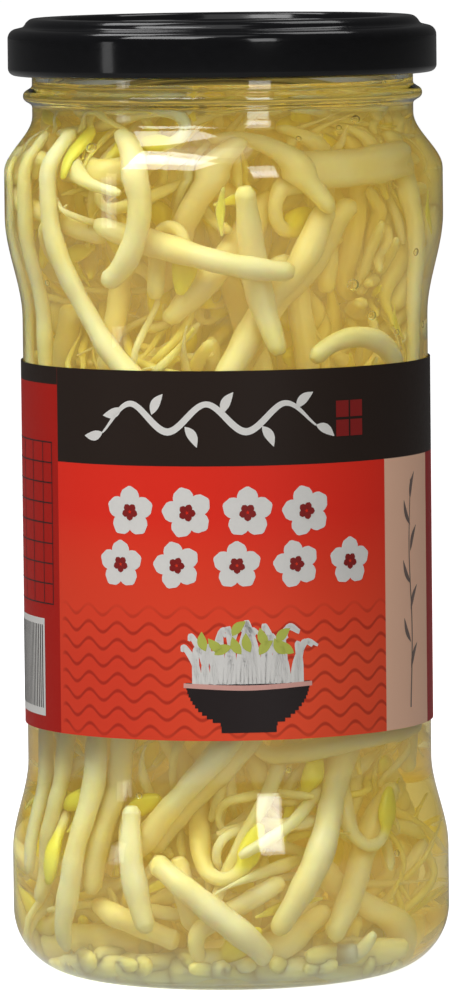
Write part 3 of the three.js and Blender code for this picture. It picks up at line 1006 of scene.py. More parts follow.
@dataclass(frozen=True)
class Lid:
    """The twist-off lid and the thread that it turns on, with their sizes in millimetres."""

    top: float = 147.5
    bottom: float = 138.8
    radius: float = 33.0
    sheet: float = 0.5
    panel: float = 146.2
    button_radius: float = 8.5
    ridge_inner: float = 25.1
    ridge_outer: float = 30.6
    lugs: int = 6
    lug_top: float = 140.1
    thread_low: float = 140.9
    thread_rise: float = 1.1
    thread_span: float = math.radians(44)
    thread_stand_out: float = 1.3

    def build(self, finishes: Finishes, seal: bpy.types.Object) -> None:
        """Builds the steel lid: button, ridge, stepped shoulder, skirt and curl, with its lugs.

        Args:
            finishes: the scene's materials.
            seal: the frame's own seal, which only gets its finish.
        """
        sheet = self.sheet
        skirt = self.bottom + 1.7
        top = [
            (0.0, self.panel + 0.45),
            (self.button_radius - 1.4, self.panel + 0.35),
            (self.button_radius, self.panel),
            (self.ridge_inner - 1.0, self.panel),
            (self.ridge_inner + 0.2, self.panel),
            (self.ridge_inner + 0.9, self.top),
            (self.ridge_outer - 1.2, self.top),
            (self.ridge_outer - 0.5, self.top - 0.5),
            (self.ridge_outer, self.panel - 0.05),
            (self.radius - 1.3, self.panel - 0.2),
        ]
        shoulder = arc(self.radius - 1.5, self.panel - 1.75, 1.5, 80, 0, 10)
        curl = arc(self.radius - 1.1, self.bottom + 1.1, 1.1, 0, -200, 18)
        inside = [
            (self.radius - sheet, skirt + 0.9),
            (self.radius - sheet, self.panel - 1.8),
            (self.radius - 1.5, self.panel - 0.3 - sheet),
            (self.ridge_outer - 0.5, self.panel - sheet),
            (self.ridge_outer - 1.4, self.top - sheet),
            (self.ridge_inner + 1.0, self.top - sheet),
            (self.ridge_inner + 0.3, self.panel - sheet),
            (self.button_radius, self.panel - sheet),
            (0.0, self.panel + 0.35 - sheet),
        ]
        outline = rounded(top, 0.45)[:-1] + shoulder + curl + inside
        outline.reverse()
        mesh = turned("lid_shell", outline, JAR.around, 60)
        bm = bmesh.new()
        bm.from_mesh(mesh)
        for i in range(self.lugs):
            self.add_lug(bm, 2 * math.pi * i / self.lugs + self.thread_span * 0.3)
        bm.to_mesh(mesh)
        bm.free()
        mesh.set_sharp_from_angle(angle=math.radians(60))
        piece = show("lid_shell", mesh, finishes.lid, Body.LID)
        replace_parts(piece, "lid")
        for old in seal.material_slots:
            old.material = finishes.seal

    def add_lug(self, bm: bmesh.types.BMesh, angle: float) -> None:
        """Adds one lug: the curl pressed inwards, with softened edges.

        Args:
            bm: the lid's mesh.
            angle: where the lug stands.
        """
        outer, inner = self.radius - 1.4, JAR.neck_radius + 0.35
        height = self.lug_top - self.bottom - 0.3
        made = bmesh.ops.create_cube(bm, size=1.0)["verts"]
        bmesh.ops.scale(bm, vec=((outer - inner) * MM, 7 * MM, height * MM), verts=made)
        middle = ((outer + inner) / 2 * MM, 0.0, (self.lug_top + self.bottom + 0.3) / 2 * MM)
        bmesh.ops.translate(bm, vec=middle, verts=made)
        bmesh.ops.rotate(bm, cent=(0, 0, 0), matrix=Matrix.Rotation(angle, 3, "Z"), verts=made)
        edges = list({e for v in made for e in v.link_edges})
        bmesh.ops.bevel(
            bm, geom=edges, offset=0.3 * MM, affect="EDGES", segments=2, profile=0.5, material=-1
        )


class Ink:
    """Printed shapes, as thin skins on the label, drawn in millimetres round it and up it."""

    def __init__(self, lift: float) -> None:
        """Starts with nothing printed.

        Args:
            lift: how far over the paper the skin lies, in millimetres.
        """
        self.radius = LABEL.face_radius() + lift
        self.points: list[tuple[float, float, float]] = []
        self.faces: list[tuple[int, ...]] = []

    def _spot(self, u: float, v: float) -> int:
        """Adds a point.

        Args:
            u: the distance round the label.
            v: the height.

        Returns:
            The point's number.
        """
        angle = u / LABEL.face_radius()
        self.points.append((self.radius * math.sin(angle), -self.radius * math.cos(angle), v))
        return len(self.points) - 1

    def block(self, left: float, low: float, right: float, high: float) -> None:
        """Prints a filled rectangle.

        Args:
            left: its left side.
            low: its foot.
            right: its right side.
            high: its top.
        """
        across = max(1, math.ceil((right - left) / 1.2))
        for i in range(across):
            a = left + (right - left) * i / across
            b = left + (right - left) * (i + 1) / across
            around = ((a, low), (b, low), (b, high), (a, high))
            self.faces.append(tuple(self._spot(*spot) for spot in around))

    def stroke(self, line: Sequence[Point2], widths: Sequence[float], steps: int = 40) -> None:
        """Prints a brush stroke along a smooth line.

        Args:
            line: the points that it passes.
            widths: its widths, spread evenly along it.
            steps: how many pieces it has.
        """
        dense = spline(line, steps)
        sizes = np.interp(np.linspace(0, 1, len(dense)), np.linspace(0, 1, len(widths)), widths)
        ahead = np.gradient(dense, axis=0)
        ahead /= np.maximum(np.linalg.norm(ahead, axis=1), 1e-9)[:, None]
        side = np.stack([-ahead[:, 1], ahead[:, 0]], axis=1)
        across = (-1.0, -0.33, 0.33, 1.0)
        rows = [
            [self._spot(*(p + n * w / 2 * k)) for k in across]
            for p, n, w in zip(dense, side, sizes)
        ]
        for a, b in zip(rows, rows[1:]):
            for k in range(3):
                self.faces.append((a[k], b[k], b[k + 1], a[k + 1])[::-1])

    def leaf(self, u: float, v: float, way: float, length: float, width: float) -> None:
        """Prints a pointed leaf.

        Args:
            u: where it starts round the label.
            v: where it starts up it.
            way: its direction in degrees.
            length: its length.
            width: its width.
        """
        a = math.radians(way)
        end = (u + length * math.cos(a), v + length * math.sin(a))
        bulge = 0.08 * length
        middle = ((u + end[0]) / 2 - bulge * math.sin(a), (v + end[1]) / 2 + bulge * math.cos(a))
        shape = [0.04, 0.6, 0.92, 1.0, 0.85, 0.5, 0.04]
        self.stroke([(u, v), middle, end], [width * k for k in shape], 22)

    def petal(self, u: float, v: float, way: float, size: float) -> None:
        """Prints a round petal that points away from a spot.

        Args:
            u: the spot round the label.
            v: the spot up it.
            way: the direction in degrees.
            size: the petal's size.
        """
        a = math.radians(way)
        start = (u + 0.16 * size * math.cos(a), v + 0.16 * size * math.sin(a))
        middle = (u + 0.6 * size * math.cos(a), v + 0.6 * size * math.sin(a))
        end = (u + 1.12 * size * math.cos(a), v + 1.12 * size * math.sin(a))
        shape = [0.1, 0.55, 0.86, 1.0, 0.98, 0.8, 0.12]
        self.stroke([start, middle, end], [size * 0.92 * k for k in shape], 20)

    def make(self, name: str, material: bpy.types.Material) -> None:
        """Makes the gathered ink as one piece.

        Args:
            name: the piece's name.
            material: its ink.
        """
        mesh = mesh_of(name, np.array(self.points), self.faces)
        bm = bmesh.new()
        bm.from_mesh(mesh)
        bmesh.ops.remove_doubles(bm, verts=bm.verts, dist=1e-7)
        for face in bm.faces:
            out = face.calc_center_median()
            if face.normal.dot(Vector((out.x, out.y, 0))) < 0:
                face.normal_flip()
        bm.to_mesh(mesh)
        bm.free()
        show(name, mesh, material, Body.JAR)


def spline(line: Sequence[Point2], steps: int) -> np.ndarray:
    """Draws a smooth line through points.

    Args:
        line: the points.
        steps: how many pieces the line has.

    Returns:
        The line's points.
    """
    p = np.array(line, dtype=float)
    p = np.concatenate([[2 * p[0] - p[1]], p, [2 * p[-1] - p[-2]]])
    pieces = []
    per = max(3, steps // (len(line) - 1))
    for i in range(len(line) - 1):
        a, b, c, d = p[i : i + 4]
        t = np.linspace(0, 1, per, endpoint=i == len(line) - 2)[:, None]
        second, third = 2 * a - 5 * b + 4 * c - d, 3 * b - a - 3 * c + d
        pieces.append(0.5 * (2 * b + (c - a) * t + second * t**2 + third * t**3))
    return np.concatenate(pieces)


@dataclass(frozen=True)
class Label:
    """The paper label and its printed design, with their sizes round the panel and up it."""

    bottom: float = 39.0
    top: float = 95.0
    paper: float = 0.25
    gap: float = 0.1
    band_bottom: float = 80.6
    column_edge: float = -30.0
    strip_left: float = 27.2
    strip_right: float = 41.2
    ink: float = 0.03
    raised_ink: float = 0.045
    top_ink: float = 0.05
    heap_seed: int = 91

    def face_radius(self) -> float:
        """The radius of the paper's printed face."""
        return JAR.panel_radius + self.gap + self.paper

    def build_paper(self, finishes: Finishes) -> None:
        """Builds the paper, wrapped once round, its end lapped over its start at the back.

        Args:
            finishes: the scene's materials.
        """
        inner = JAR.panel_radius + self.gap
        lift = self.paper + self.gap
        steps, lap = 240, 8
        points, faces = [], []
        heights = np.linspace(self.bottom, self.top, 29)
        for i in range(steps + lap + 1):
            raised = lift * smooth((i - steps + 3) / 4)
            angle = math.pi / 2 + 2 * math.pi * i / steps
            for extra in (0.0, self.paper):
                for z in heights:
                    radius = inner + raised + extra
                    points.append((radius * math.cos(angle), radius * math.sin(angle), z))
        rows = len(heights)
        for i in range(steps + lap):
            a, b = i * 2 * rows, (i + 1) * 2 * rows
            for k in range(rows - 1):
                faces.append((a + k + 1, b + k + 1, b + k, a + k))
                faces.append((a + rows + k, b + rows + k, b + rows + k + 1, a + rows + k + 1))
            faces.append((a, b, b + rows, a + rows))
            faces.append((a + 2 * rows - 1, b + 2 * rows - 1, b + rows - 1, a + rows - 1))
        for end, flip in ((0, False), ((steps + lap) * 2 * rows, True)):
            for k in range(rows - 1):
                face = (end + k, end + rows + k, end + rows + k + 1, end + k + 1)
                faces.append(face[::-1] if flip else face)
        mesh = mesh_of("label_wrap", np.array(points), faces)
        bm = bmesh.new()
        bm.from_mesh(mesh)
        bmesh.ops.recalc_face_normals(bm, faces=bm.faces)
        bm.to_mesh(mesh)
        bm.free()
        mesh.set_sharp_from_angle(angle=math.radians(50))
        piece = show("label_wrap", mesh, finishes.label, Body.JAR)
        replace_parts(piece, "label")

    def print_band(self, finishes: Finishes) -> None:
        """Prints the vine and the tiles on the black band.

        Args:
            finishes: the scene's materials.
        """
        vine = Ink(self.ink)
        line = [(-20, 85.5), (-15, 90), (-9, 85.8), (-3, 90), (3, 85.8), (9, 90), (14, 86.5)]
        vine.stroke(line, [0.3, 0.9, 1.1, 0.9, 1.1, 0.9, 0.3], 90)
        for u, v, way in VINE_LEAVES:
            vine.leaf(u, v, way, 3.6, 1.5)
        vine.make("print_vine", finishes.white_ink)
        tiles = Ink(self.ink)
        for k in range(4):
            left, low = 17.5 + 2.6 * (k % 2), 84.6 + 2.9 * (k // 2)
            tiles.block(left, low, left + 2.3, low + 2.5)
        tiles.make("print_tiles", finishes.deep_red_ink)

    def print_blossoms(self, finishes: Finishes) -> None:
        """Prints two rows of five-petalled blossoms.

        Args:
            finishes: the scene's materials.
        """
        petals, hearts = Ink(self.ink), Ink(self.top_ink)
        for row, (v, count, size) in enumerate(((73.6, 4, 3.5), (65.6, 5, 3.3))):
            for k in range(count):
                u = -18.5 + 1.5 * row + 9.2 * k + (3.2 if row == 0 else 0.0)
                for petal in range(5):
                    petals.petal(u, v, 90 + 72 * petal + 14 * (k % 2), size)
                for petal in range(5):
                    hearts.petal(u, v, 54 + 72 * petal + 14 * (k % 2), size * 0.34)
        petals.make("print_blossoms", finishes.white_ink)
        hearts.make("print_blossom_hearts", finishes.deep_red_ink)

    def print_bowl(self, finishes: Finishes) -> None:
        """Prints a bowl heaped with shoots.

        Args:
            finishes: the scene's materials.
        """
        bowl = Ink(self.ink)
        for i in range(12):
            v = 41.2 + 0.55 * i
            half = 9.6 * math.sqrt(max(0.04, 1 - ((6.6 - 0.55 * i) / 7.4) ** 2))
            bowl.block(3.0 - half, v, 3.0 + half, v + 0.56)
        bowl.block(-1.2, 40.2, 7.2, 41.25)
        bowl.make("print_bowl", finishes.dark_ink)
        rim = Ink(self.top_ink)
        rim.stroke([(-6.9, 47.4), (3.0, 47.0), (12.9, 47.4)], [0.7, 0.8, 0.7], 30)
        rim.make("print_bowl_rim", finishes.pink_ink)
        heap = Ink(self.raised_ink)
        draw = numbers(self.heap_seed)
        for k in range(26):
            u = -5.4 + 16.8 * (k + 0.5) / 26
            dome = math.sqrt(max(0.0, 1 - ((u - 3) / 9.2) ** 2))
            tall = 3.2 + 6.2 * dome * (0.6 + 0.5 * draw())
            lean = 5 * (draw() - 0.5)
            bent = (u + lean * 0.3, 47.6 + tall * 0.55)
            shoot = [(u, 47.6), bent, (u + lean, 47.6 + tall), (u + lean * 1.5 + 0.8, 46.9 + tall)]
            heap.stroke(shoot, [1.0, 1.1, 0.9, 0.4], 26)
        heap.make("print_heap", finishes.white_ink)
        leaves = Ink(0.06)
        for k in range(11):
            u = -3.5 + 13.5 * k / 10
            tall = 3.0 + 5.2 * math.sqrt(max(0.0, 1 - ((u - 3) / 9.2) ** 2))
            leaves.leaf(u, 47.5 + tall * (0.55 + 0.45 * draw()), 20 + 140 * draw(), 3.0, 1.5)
        leaves.make("print_leaves", finishes.leaf_ink)

    def print_column(self, finishes: Finishes) -> None:
        """Prints the ruled column and its white card of even bars.

        Args:
            finishes: the scene's materials.
        """
        rules = Ink(self.ink)
        for k in range(9):
            v = 58.5 + 3.1 * k
            rules.block(-48.5, v, -31.6, v + 0.18)
        for u in (-48.5, -43.0, -38.4, -34.6, -31.8):
            rules.block(u, 58.5, u + 0.18, 83.5)
        rules.make("print_ruled_lines", finishes.dark_ink)
        card = Ink(self.ink)
        card.block(-49.0, 41.2, -34.6, 56.2)
        card.make("print_white_card", finishes.white_ink)
        bars = Ink(self.raised_ink)
        for k in range(18):
            left = -48.2 + 0.74 * k
            bars.block(left, 42.4, left + 0.34, 55.2)
        bars.make("print_even_bars", finishes.dark_ink)

    def print_sides(self, finishes: Finishes) -> None:
        """Prints the reed on the pale strip and the plain panels further round.

        Args:
            finishes: the scene's materials.
        """
        reed = Ink(self.ink)
        stalk = [(34.0, 42.0), (34.6, 54.0), (33.8, 66.0), (34.4, 77.0)]
        reed.stroke(stalk, [0.35, 0.3, 0.28, 0.15], 60)
        for v, way in REED_LEAVES:
            reed.leaf(34.2, v, way, 4.4, 0.9)
        reed.make("print_reed", finishes.grey_ink)
        back = Ink(self.ink)
        for k in range(4):
            left = 62.0 + 12 * k
            back.block(left, 44.0, left + 8, 76.0)
        back.make("print_back_panels", finishes.pink_ink)

    def build(self, finishes: Finishes) -> None:
        """Builds the paper and prints its design.

        Args:
            finishes: the scene's materials.
        """
        self.build_paper(finishes)
        self.print_band(finishes)
        self.print_blossoms(finishes)
        self.print_bowl(finishes)
        self.print_column(finishes)
        self.print_sides(finishes)


# The vine's and the reed's leaves: where each one starts, and its direction in degrees.
VINE_LEAVES = (
    (-16.5, 89.3, 200),
    (-11.5, 88.4, 60),
    (-6.3, 86.6, -60),
    (-0.6, 88.6, 62),
    (5.4, 86.6, -60),
    (10.8, 89.2, 40),
    (14, 86.5, -30),
    (-20, 85.5, 190),
)
REED_LEAVES = ((48, 60), (52, 118), (57, 58), (61, 121), (66, 62), (70, 116), (74, 70))


@dataclass(frozen=True)
class Bedding:
    """How the sprouts lie against the glass, in millimetres."""

    first_depth: float = 1.1
    clearance: float = 0.5
    lowest: float = 6.0
    highest: float = 134.2
    steepest: float = 0.3
    slimness: float = 0.93
    clumps: int = 16
    clump_sprouts: int = 4
    clump_tries: int = 60
    seed: int = 20417
    hook_length: float = 8.5
    head_length: float = 7.5
    head_half_width: float = 1.75
    head_half_thick: float = 1.1
    trace_steps: int = 48
    seen_depth: float = 5.2
    table_low: float = -80.0
    table_step: float = 0.05
    table_rows: int = 6000


JAR = Jar()
LID = Lid()
LABEL = Label()
BED = Bedding()
BED_HEIGHTS = BED.table_low + BED.table_step * np.arange(BED.table_rows)
BED_RADII = np.array([JAR.bed_radius(z) for z in BED_HEIGHTS])


def bed_radius(z: float) -> float:
    """Finds the wall radius that a stem feels, from a table of heights.

    Args:
        z: the height.

    Returns:
        The radius.
    """
    spot = (z - BED.table_low) / BED.table_step
    low = int(spot)
    part = spot - low
    return BED_RADII[low] * (1 - part) + BED_RADII[low + 1] * part


def numbers(seed: int) -> Draw:
    """Makes seeded numbers from 0 to 1, the same on every run.

    Args:
        seed: where the row of numbers starts.

    Returns:
        A function that draws the next one.
    """
    state = seed & 0xFFFFFFFF

    def draw() -> float:
        """Draws the next number."""
        nonlocal state
        state = (state * 1664525 + 1013904223) & 0xFFFFFFFF
        return state / 4294967296

    return draw


def angle_seen_at(across: float) -> float:
    """Finds the angle at which a stem near the wall is seen, through glass and brine.

    Args:
        across: how far across the front it shows.

    Returns:
        The angle round the jar.
    """
    lies = JAR.bulge_radius - BED.seen_depth
    slant = math.asin(min(max(across / JAR.bulge_radius, -1.0), 1.0))
    reach = across / BrineFinish.index
    return slant + math.asin(reach / lies) - math.asin(reach / JAR.bulge_radius)


@dataclass(frozen=True)
class Sprout:
    """One sprout as it lies at the glass; sizes in millimetres, turns in radians."""

    angle: float
    up: float
    heading: float
    length: float
    bend: float
    hook: float
    radius: float
    tail: float = 0.0
    taper: float = 0.0

    def section(self, s: np.ndarray) -> tuple[np.ndarray, np.ndarray]:
        """Finds the sprout's thickness along it.

        Args:
            s: distances from the root end.

        Returns:
            Half widths and half thicknesses.
        """
        if self.tail > 0:
            root = 0.3 + 0.7 * smooth_all(s / self.tail)
        else:
            root = np.sqrt(np.clip((s + 0.5) / 1.6, 0.0, 1.0))
        if self.hook == 0:
            cut = np.sqrt(np.clip((self.length - s + 0.5) / 1.6, 0.0, 1.0))
            if self.taper > 0:
                cut = 0.3 + 0.7 * smooth_all((self.length - s) / self.taper)
            half = self.radius * np.minimum(root, cut)
            return half, half
        neck_from = self.length - BED.hook_length - BED.head_length
        neck = 1 - 0.38 * smooth_all((s - neck_from + 3) / BED.hook_length)
        along = (s - (self.length - BED.head_length)) / BED.head_length
        half = self.radius * np.minimum(root, neck)
        swell = np.sin(np.pi * np.clip(along * 0.82 + 0.12, 0.0, 1.0)) ** 0.7
        ease = np.where(along > 0, smooth_all(along * 3), 0.0)
        wide = half + (BED.head_half_width * swell - half) * ease
        thick = half + (BED.head_half_thick * swell - half) * ease
        return wide, thick

    def trace(self, depth: float = 3.0) -> Line:
        """Finds the line that the sprout takes over the wall.

        Args:
            depth: how far under the wall it is taken to lie.

        Returns:
            Angles, heights and distances.
        """
        step = self.length / BED.trace_steps
        hook_from = self.length - BED.hook_length - BED.head_length
        hook_to = self.length - BED.head_length * 0.8
        angle, up, heading = self.angle, self.up, self.heading
        rows = []
        for i in range(BED.trace_steps + 1):
            s = i * step
            rows.append((angle, up, s))
            hooking = self.hook != 0 and hook_from <= s < hook_to
            turn = self.hook / (hook_to - hook_from) if hooking else self.bend / self.length
            heading += turn * step
            angle += math.cos(heading) * step / (bed_radius(up) - depth)
            up = min(max(up + math.sin(heading) * step, BED.lowest), BED.highest)
        table = np.array(rows)
        return table[:, 0], table[:, 1], table[:, 2]


class Bed:
    """How deep under the glass each spot of the wall is already taken."""

    def __init__(self) -> None:
        """Starts with an empty bed."""
        self.turns = 180
        self.rows = math.ceil(BED.highest + 6)
        self.back = np.full((self.rows, self.turns), BED.first_depth - BED.clearance)

    def _window(
        self, angle: np.ndarray, up: np.ndarray, reach: np.ndarray, depth: np.ndarray
    ) -> tuple[np.ndarray, np.ndarray, np.ndarray]:
        """Finds the cells round each spot of a line.

        Args:
            angle: the line's angles.
            up: its heights.
            reach: how far round each spot to look.
            depth: how deep each spot lies.

        Returns:
            The cells' rows and columns, and how far off each one is.
        """
        radius = np.maximum(np.interp(up, BED_HEIGHTS, BED_RADII) - depth, 4.0)
        cell = 2 * math.pi / self.turns
        span = int(np.ceil(reach / (radius * cell)).max())
        tall = int(np.ceil(reach.max())) + 1
        row = np.floor(up)[:, None, None] + np.arange(-tall, tall + 2)[None, :, None]
        middle = np.floor(angle / cell + 0.5)[:, None, None]
        column = middle + np.arange(-span, span + 1)[None, None, :]
        aside = (column * cell - angle[:, None, None]) * radius[:, None, None]
        offset = np.hypot(aside, row - up[:, None, None])
        offset = np.where((row < 0) | (row >= self.rows), np.inf, offset)
        rows = np.clip(row, 0, self.rows - 1).astype(int) + 0 * column.astype(int)
        return rows, (column.astype(int) + 0 * row.astype(int)) % self.turns, offset

    def depths(
        self,
        sprout: Sprout,
        line: Line,
        clearance: float = BED.clearance,
        steepest: float = BED.steepest,
    ) -> np.ndarray:
        """Finds the least depth of a sprout's middle line, clear of what lies in front.

        Args:
            sprout: the sprout.
            line: its line.
            clearance: the gap to what lies in front.
            steepest: how fast it may dive.

        Returns:
            The depth at each step.
        """
        angle, up, s = line
        wide, thick = sprout.section(s)
        reach = wide + clearance
        least = BED.first_depth + thick
        for _ in range(3):
            rows, columns, offset = self._window(angle, up, reach, least)
            ratio = offset / reach[:, None, None]
            inside = ratio <= 1
            arch = np.sqrt(np.clip(1 - np.where(inside, ratio, 1.0) ** 2, 0.0, None))
            need = self.back[rows, columns] + arch * (thick + clearance)[:, None, None]
            least = np.maximum(least, np.where(inside, need, -np.inf).max(axis=(1, 2)))
        drop = steepest * sprout.length / BED.trace_steps
        for i in range(1, len(least)):
            least[i] = max(least[i], least[i - 1] - drop)
        for i in range(len(least) - 2, -1, -1):
            least[i] = max(least[i], least[i + 1] - drop)
        return least

    def lay(self, sprout: Sprout, line: Line, depths: np.ndarray) -> None:
        """Marks the spots that a sprout takes.

        Args:
            sprout: the sprout.
            line: its line.
            depths: its depths.
        """
        angle, up, s = line
        wide, thick = sprout.section(s)
        reach = np.maximum(wide, 0.9)
        rows, columns, offset = self._window(angle, up, reach, depths)
        ratio = offset / reach[:, None, None]
        inside = ratio <= 1
        arch = np.sqrt(np.clip(1 - np.where(inside, ratio, 1.0) ** 2, 0.0, None))
        cover = depths[:, None, None] + arch * thick[:, None, None]
        np.maximum.at(self.back, (rows[inside], columns[inside]), cover[inside])


# A sprout with its line over the wall and its depths under the glass.
Laid = tuple[Sprout, Line, np.ndarray]


class SproutMesh:
    """Gathers sprouts into one mesh, with its colour attributes."""

    def __init__(self) -> None:
        """Starts with nothing gathered."""
        self.points: list[np.ndarray] = []
        self.faces: list[np.ndarray] = []
        self.head: list[np.ndarray] = []
        self.root: list[np.ndarray] = []
        self.shade: list[np.ndarray] = []
        self.count = 0

    def add(
        self,
        laid: Laid,
        rings: int,
        sides: int,
        shade: float,
        thin: bool = False,
        leaf: bool = False,
    ) -> None:
        """Adds one sprout as a closed tube.

        Args:
            laid: the sprout, its line and its depths.
            rings: how many rings the tube has.
            sides: how many sides each ring has.
            shade: 0 for the palest flesh, 1 for the yellowest.
            thin: whether this is a root thread, coloured as one.
            leaf: whether this is a loose seed leaf, flat and yellow.
        """
        sprout, (angle, up, s), depths = laid
        kernel = np.array([1, 2, 3, 4, 3, 2, 1]) / 16
        soft = np.convolve(np.pad(depths, 3, mode="edge"), kernel, mode="valid")
        at = np.linspace(0, sprout.length, rings)
        angles = np.interp(at, s, angle)
        heights = np.interp(at, s, up)
        depth = np.interp(at, s, soft)
        radius = np.interp(heights, BED_HEIGHTS, BED_RADII) - depth
        line = np.stack([radius * np.sin(angles), -radius * np.cos(angles), heights], axis=1)
        sway = 0.22 * np.sin(at * 0.28 + sprout.up) * np.clip(at / 6, 0, 1)
        line[:, 2] += sway * np.cos(sprout.heading)
        for _ in range(3):
            line[1:-1] = line[:-2] * 0.25 + line[1:-1] * 0.5 + line[2:] * 0.25
        ahead = np.gradient(line, axis=0)
        ahead /= np.linalg.norm(ahead, axis=1)[:, None]
        out = np.stack([np.sin(angles), -np.cos(angles), 0 * angles], axis=1)
        aside = np.cross(ahead, out)
        aside /= np.linalg.norm(aside, axis=1)[:, None]
        proud = np.cross(aside, ahead)
        wide, thick = sprout.section(at)
        seed = sprout.up * 7.3 + sprout.angle * 11.1
        lumpy = 1 + 0.06 * np.sin(at * 0.34 + seed) + 0.03 * np.sin(at * 1.1 + seed * 2.1)
        if sprout.hook == 0 and not thin:
            lumpy = lumpy * (1 - 0.22 * smooth_all((at - sprout.length + 8) / 8))
        if sprout.tail == 0 and not thin:
            lumpy = lumpy * (0.8 + 0.2 * smooth_all(at / 8))
        turn = np.linspace(0, 2 * np.pi, sides, endpoint=False)
        headness = np.zeros(rings)
        if sprout.hook != 0:
            headness = smooth_all((at - (sprout.length - BED.head_length - 1.5)) / 3.0)
        if leaf:
            headness = np.ones(rings)
            thick = thick * 0.4
        crease = np.exp(-(np.cos(turn) ** 2) / 0.03) * (np.sin(turn) > 0)
        cleft = 1 - 0.22 * headness[:, None] * crease[None, :]
        x = (wide * lumpy)[:, None] * np.cos(turn)[None, :] * cleft
        y = (thick * lumpy)[:, None] * np.sin(turn)[None, :] * cleft
        ring = x[:, :, None] * aside[:, None, :] + y[:, :, None] * proud[:, None, :]
        ring += line[:, None, :]
        tips = (line[:1] - ahead[:1] * 0.12, line[-1:] + ahead[-1:] * 0.12)
        points = np.concatenate([ring.reshape(-1, 3), *tips])
        base = self.count
        grid = base + np.arange(rings * sides).reshape(rings, sides)
        nxt = np.roll(grid, -1, axis=1)
        quads = np.stack([grid[:-1], nxt[:-1], nxt[1:], grid[1:]], axis=-1).reshape(-1, 4)
        first, last = base + rings * sides, base + rings * sides + 1
        self.points.append(points)
        self.faces.extend(quads.tolist())
        self.faces.extend([first, int(b), int(a)] for a, b in zip(grid[0], nxt[0]))
        self.faces.extend([last, int(a), int(b)] for a, b in zip(grid[-1], nxt[-1]))
        rootness = np.zeros(rings)
        if sprout.tail > 0:
            rootness = 1 - smooth_all(at / sprout.tail)
        if thin:
            rootness = np.full(rings, 0.8)
        for store, values in ((self.head, headness), (self.root, rootness)):
            store.append(np.concatenate([np.repeat(values, sides), values[:1], values[-1:]]))
        aged = shade + 0.28 * np.sin(at * 0.23 + seed * 1.7) + 0.14 * np.sin(at * 0.71 + seed)
        aged = aged + 0.6 * (np.exp(-at / 1.4) + np.exp((at - sprout.length) / 1.4))
        shades = np.concatenate([np.repeat(aged, sides), aged[:1], aged[-1:]])
        self.shade.append(np.clip(shades, 0.0, 1.0))
        self.count += len(points)

    def make(self, name: str, finishes: Finishes) -> bpy.types.Object:
        """Makes the gathered piece.

        Args:
            name: the piece's name.
            finishes: the scene's materials.

        Returns:
            The piece.
        """
        mesh = mesh_of(name, np.concatenate(self.points), self.faces)
        for key, parts in (("head", self.head), ("root", self.root), ("shade", self.shade)):
            values = np.concatenate(parts).astype(np.float32)
            layer = mesh.attributes.new(key, "FLOAT", "POINT")
            layer.data.foreach_set("value", values)
        return show(name, mesh, finishes.sprout, Body.JAR)


# The stems that show most at the front: how far across and up the thick end starts, the way it
# heads (0 to the right, 90 up), its length, its bend, the turn of its hook and its radius.
FRONT = (
    (-32.6, 124, -90, 42, 2, 0, 1.6),
    (-30.2, 129, -90, 38, 3, 0, 1.75),
    (-26.2, 130, -100, 50, 72, 0, 1.85),
    (-18.2, 130, -32, 26, -120, 0, 2.0),
    (-20.5, 117, -18, 32, 10, 0, 1.95),
    (-13.5, 106, 88, 24, -10, -185, 1.5),
    (4.0, 128, -143, 28, 22, 0, 2.0),
    (-3.0, 127, 16, 24, -78, 0, 1.75),
    (3.2, 122.5, -83, 26, 10, 0, 2.1),
    (20.2, 119.3, -133, 38, 12, 0, 2.1),
    (25.5, 119.5, -140, 48, 14, 0, 2.1),
    (31.0, 124.5, 184, 42, 4, 185, 1.8),
    (13.0, 130, -12, 30, -95, 0, 1.6),
    (31.6, 127, -90, 40, -4, 0, 1.8),
    (14.3, 96, 48, 24, -130, 0, 1.8),
    (-11.6, 102, 48, 30, -18, 0, 2.15),
    (-1.7, 111.5, -43, 28, -42, 0, 1.9),
    (-24, 94, 90, 30, -10, -170, 1.65),
    (22, 112, -96, 34, -8, 0, 1.7),
    (-30.5, 48, -91, 32, 0, 0, 1.75),
    (-26.5, 47, -93, 36, -18, 0, 1.75),
    (-22, 48, -88, 42, -20, 0, 1.95),
    (-15.5, 47, -112, 34, 14, 0, 1.85),
    (-15.9, 28, -88, 19, 16, 0, 2.0),
    (-12.3, 20, -34, 23, -10, 0, 2.15),
    (4.2, 43.5, -127, 44, -8, -200, 2.0),
    (7.6, 41.5, -137, 30, 3, 0, 2.0),
    (31.5, 38.5, 183, 44, 8, -140, 1.75),
    (26.2, 43, -126, 40, 8, 0, 2.2),
    (25.5, 43.5, -104, 36, -2, 190, 1.5),
    (29.5, 29, -131, 28, 0, 0, 2.1),
    (8.5, 17, -152, 30, 0, 185, 1.75),
    (18.6, 11.6, -160, 28, 4, 0, 2.0),
    (16.5, 19, -34, 28, 12, 0, 2.0),
    (-24.5, 12.6, -16, 17, 0, 0, 1.9),
    (-29, 7.6, -2, 22, 2, 0, 1.9),
    (-9.5, 20, -76, 11, 0, 0, 2.1),
    (13.5, 7.2, 60, 18, -60, 0, 1.7),
)


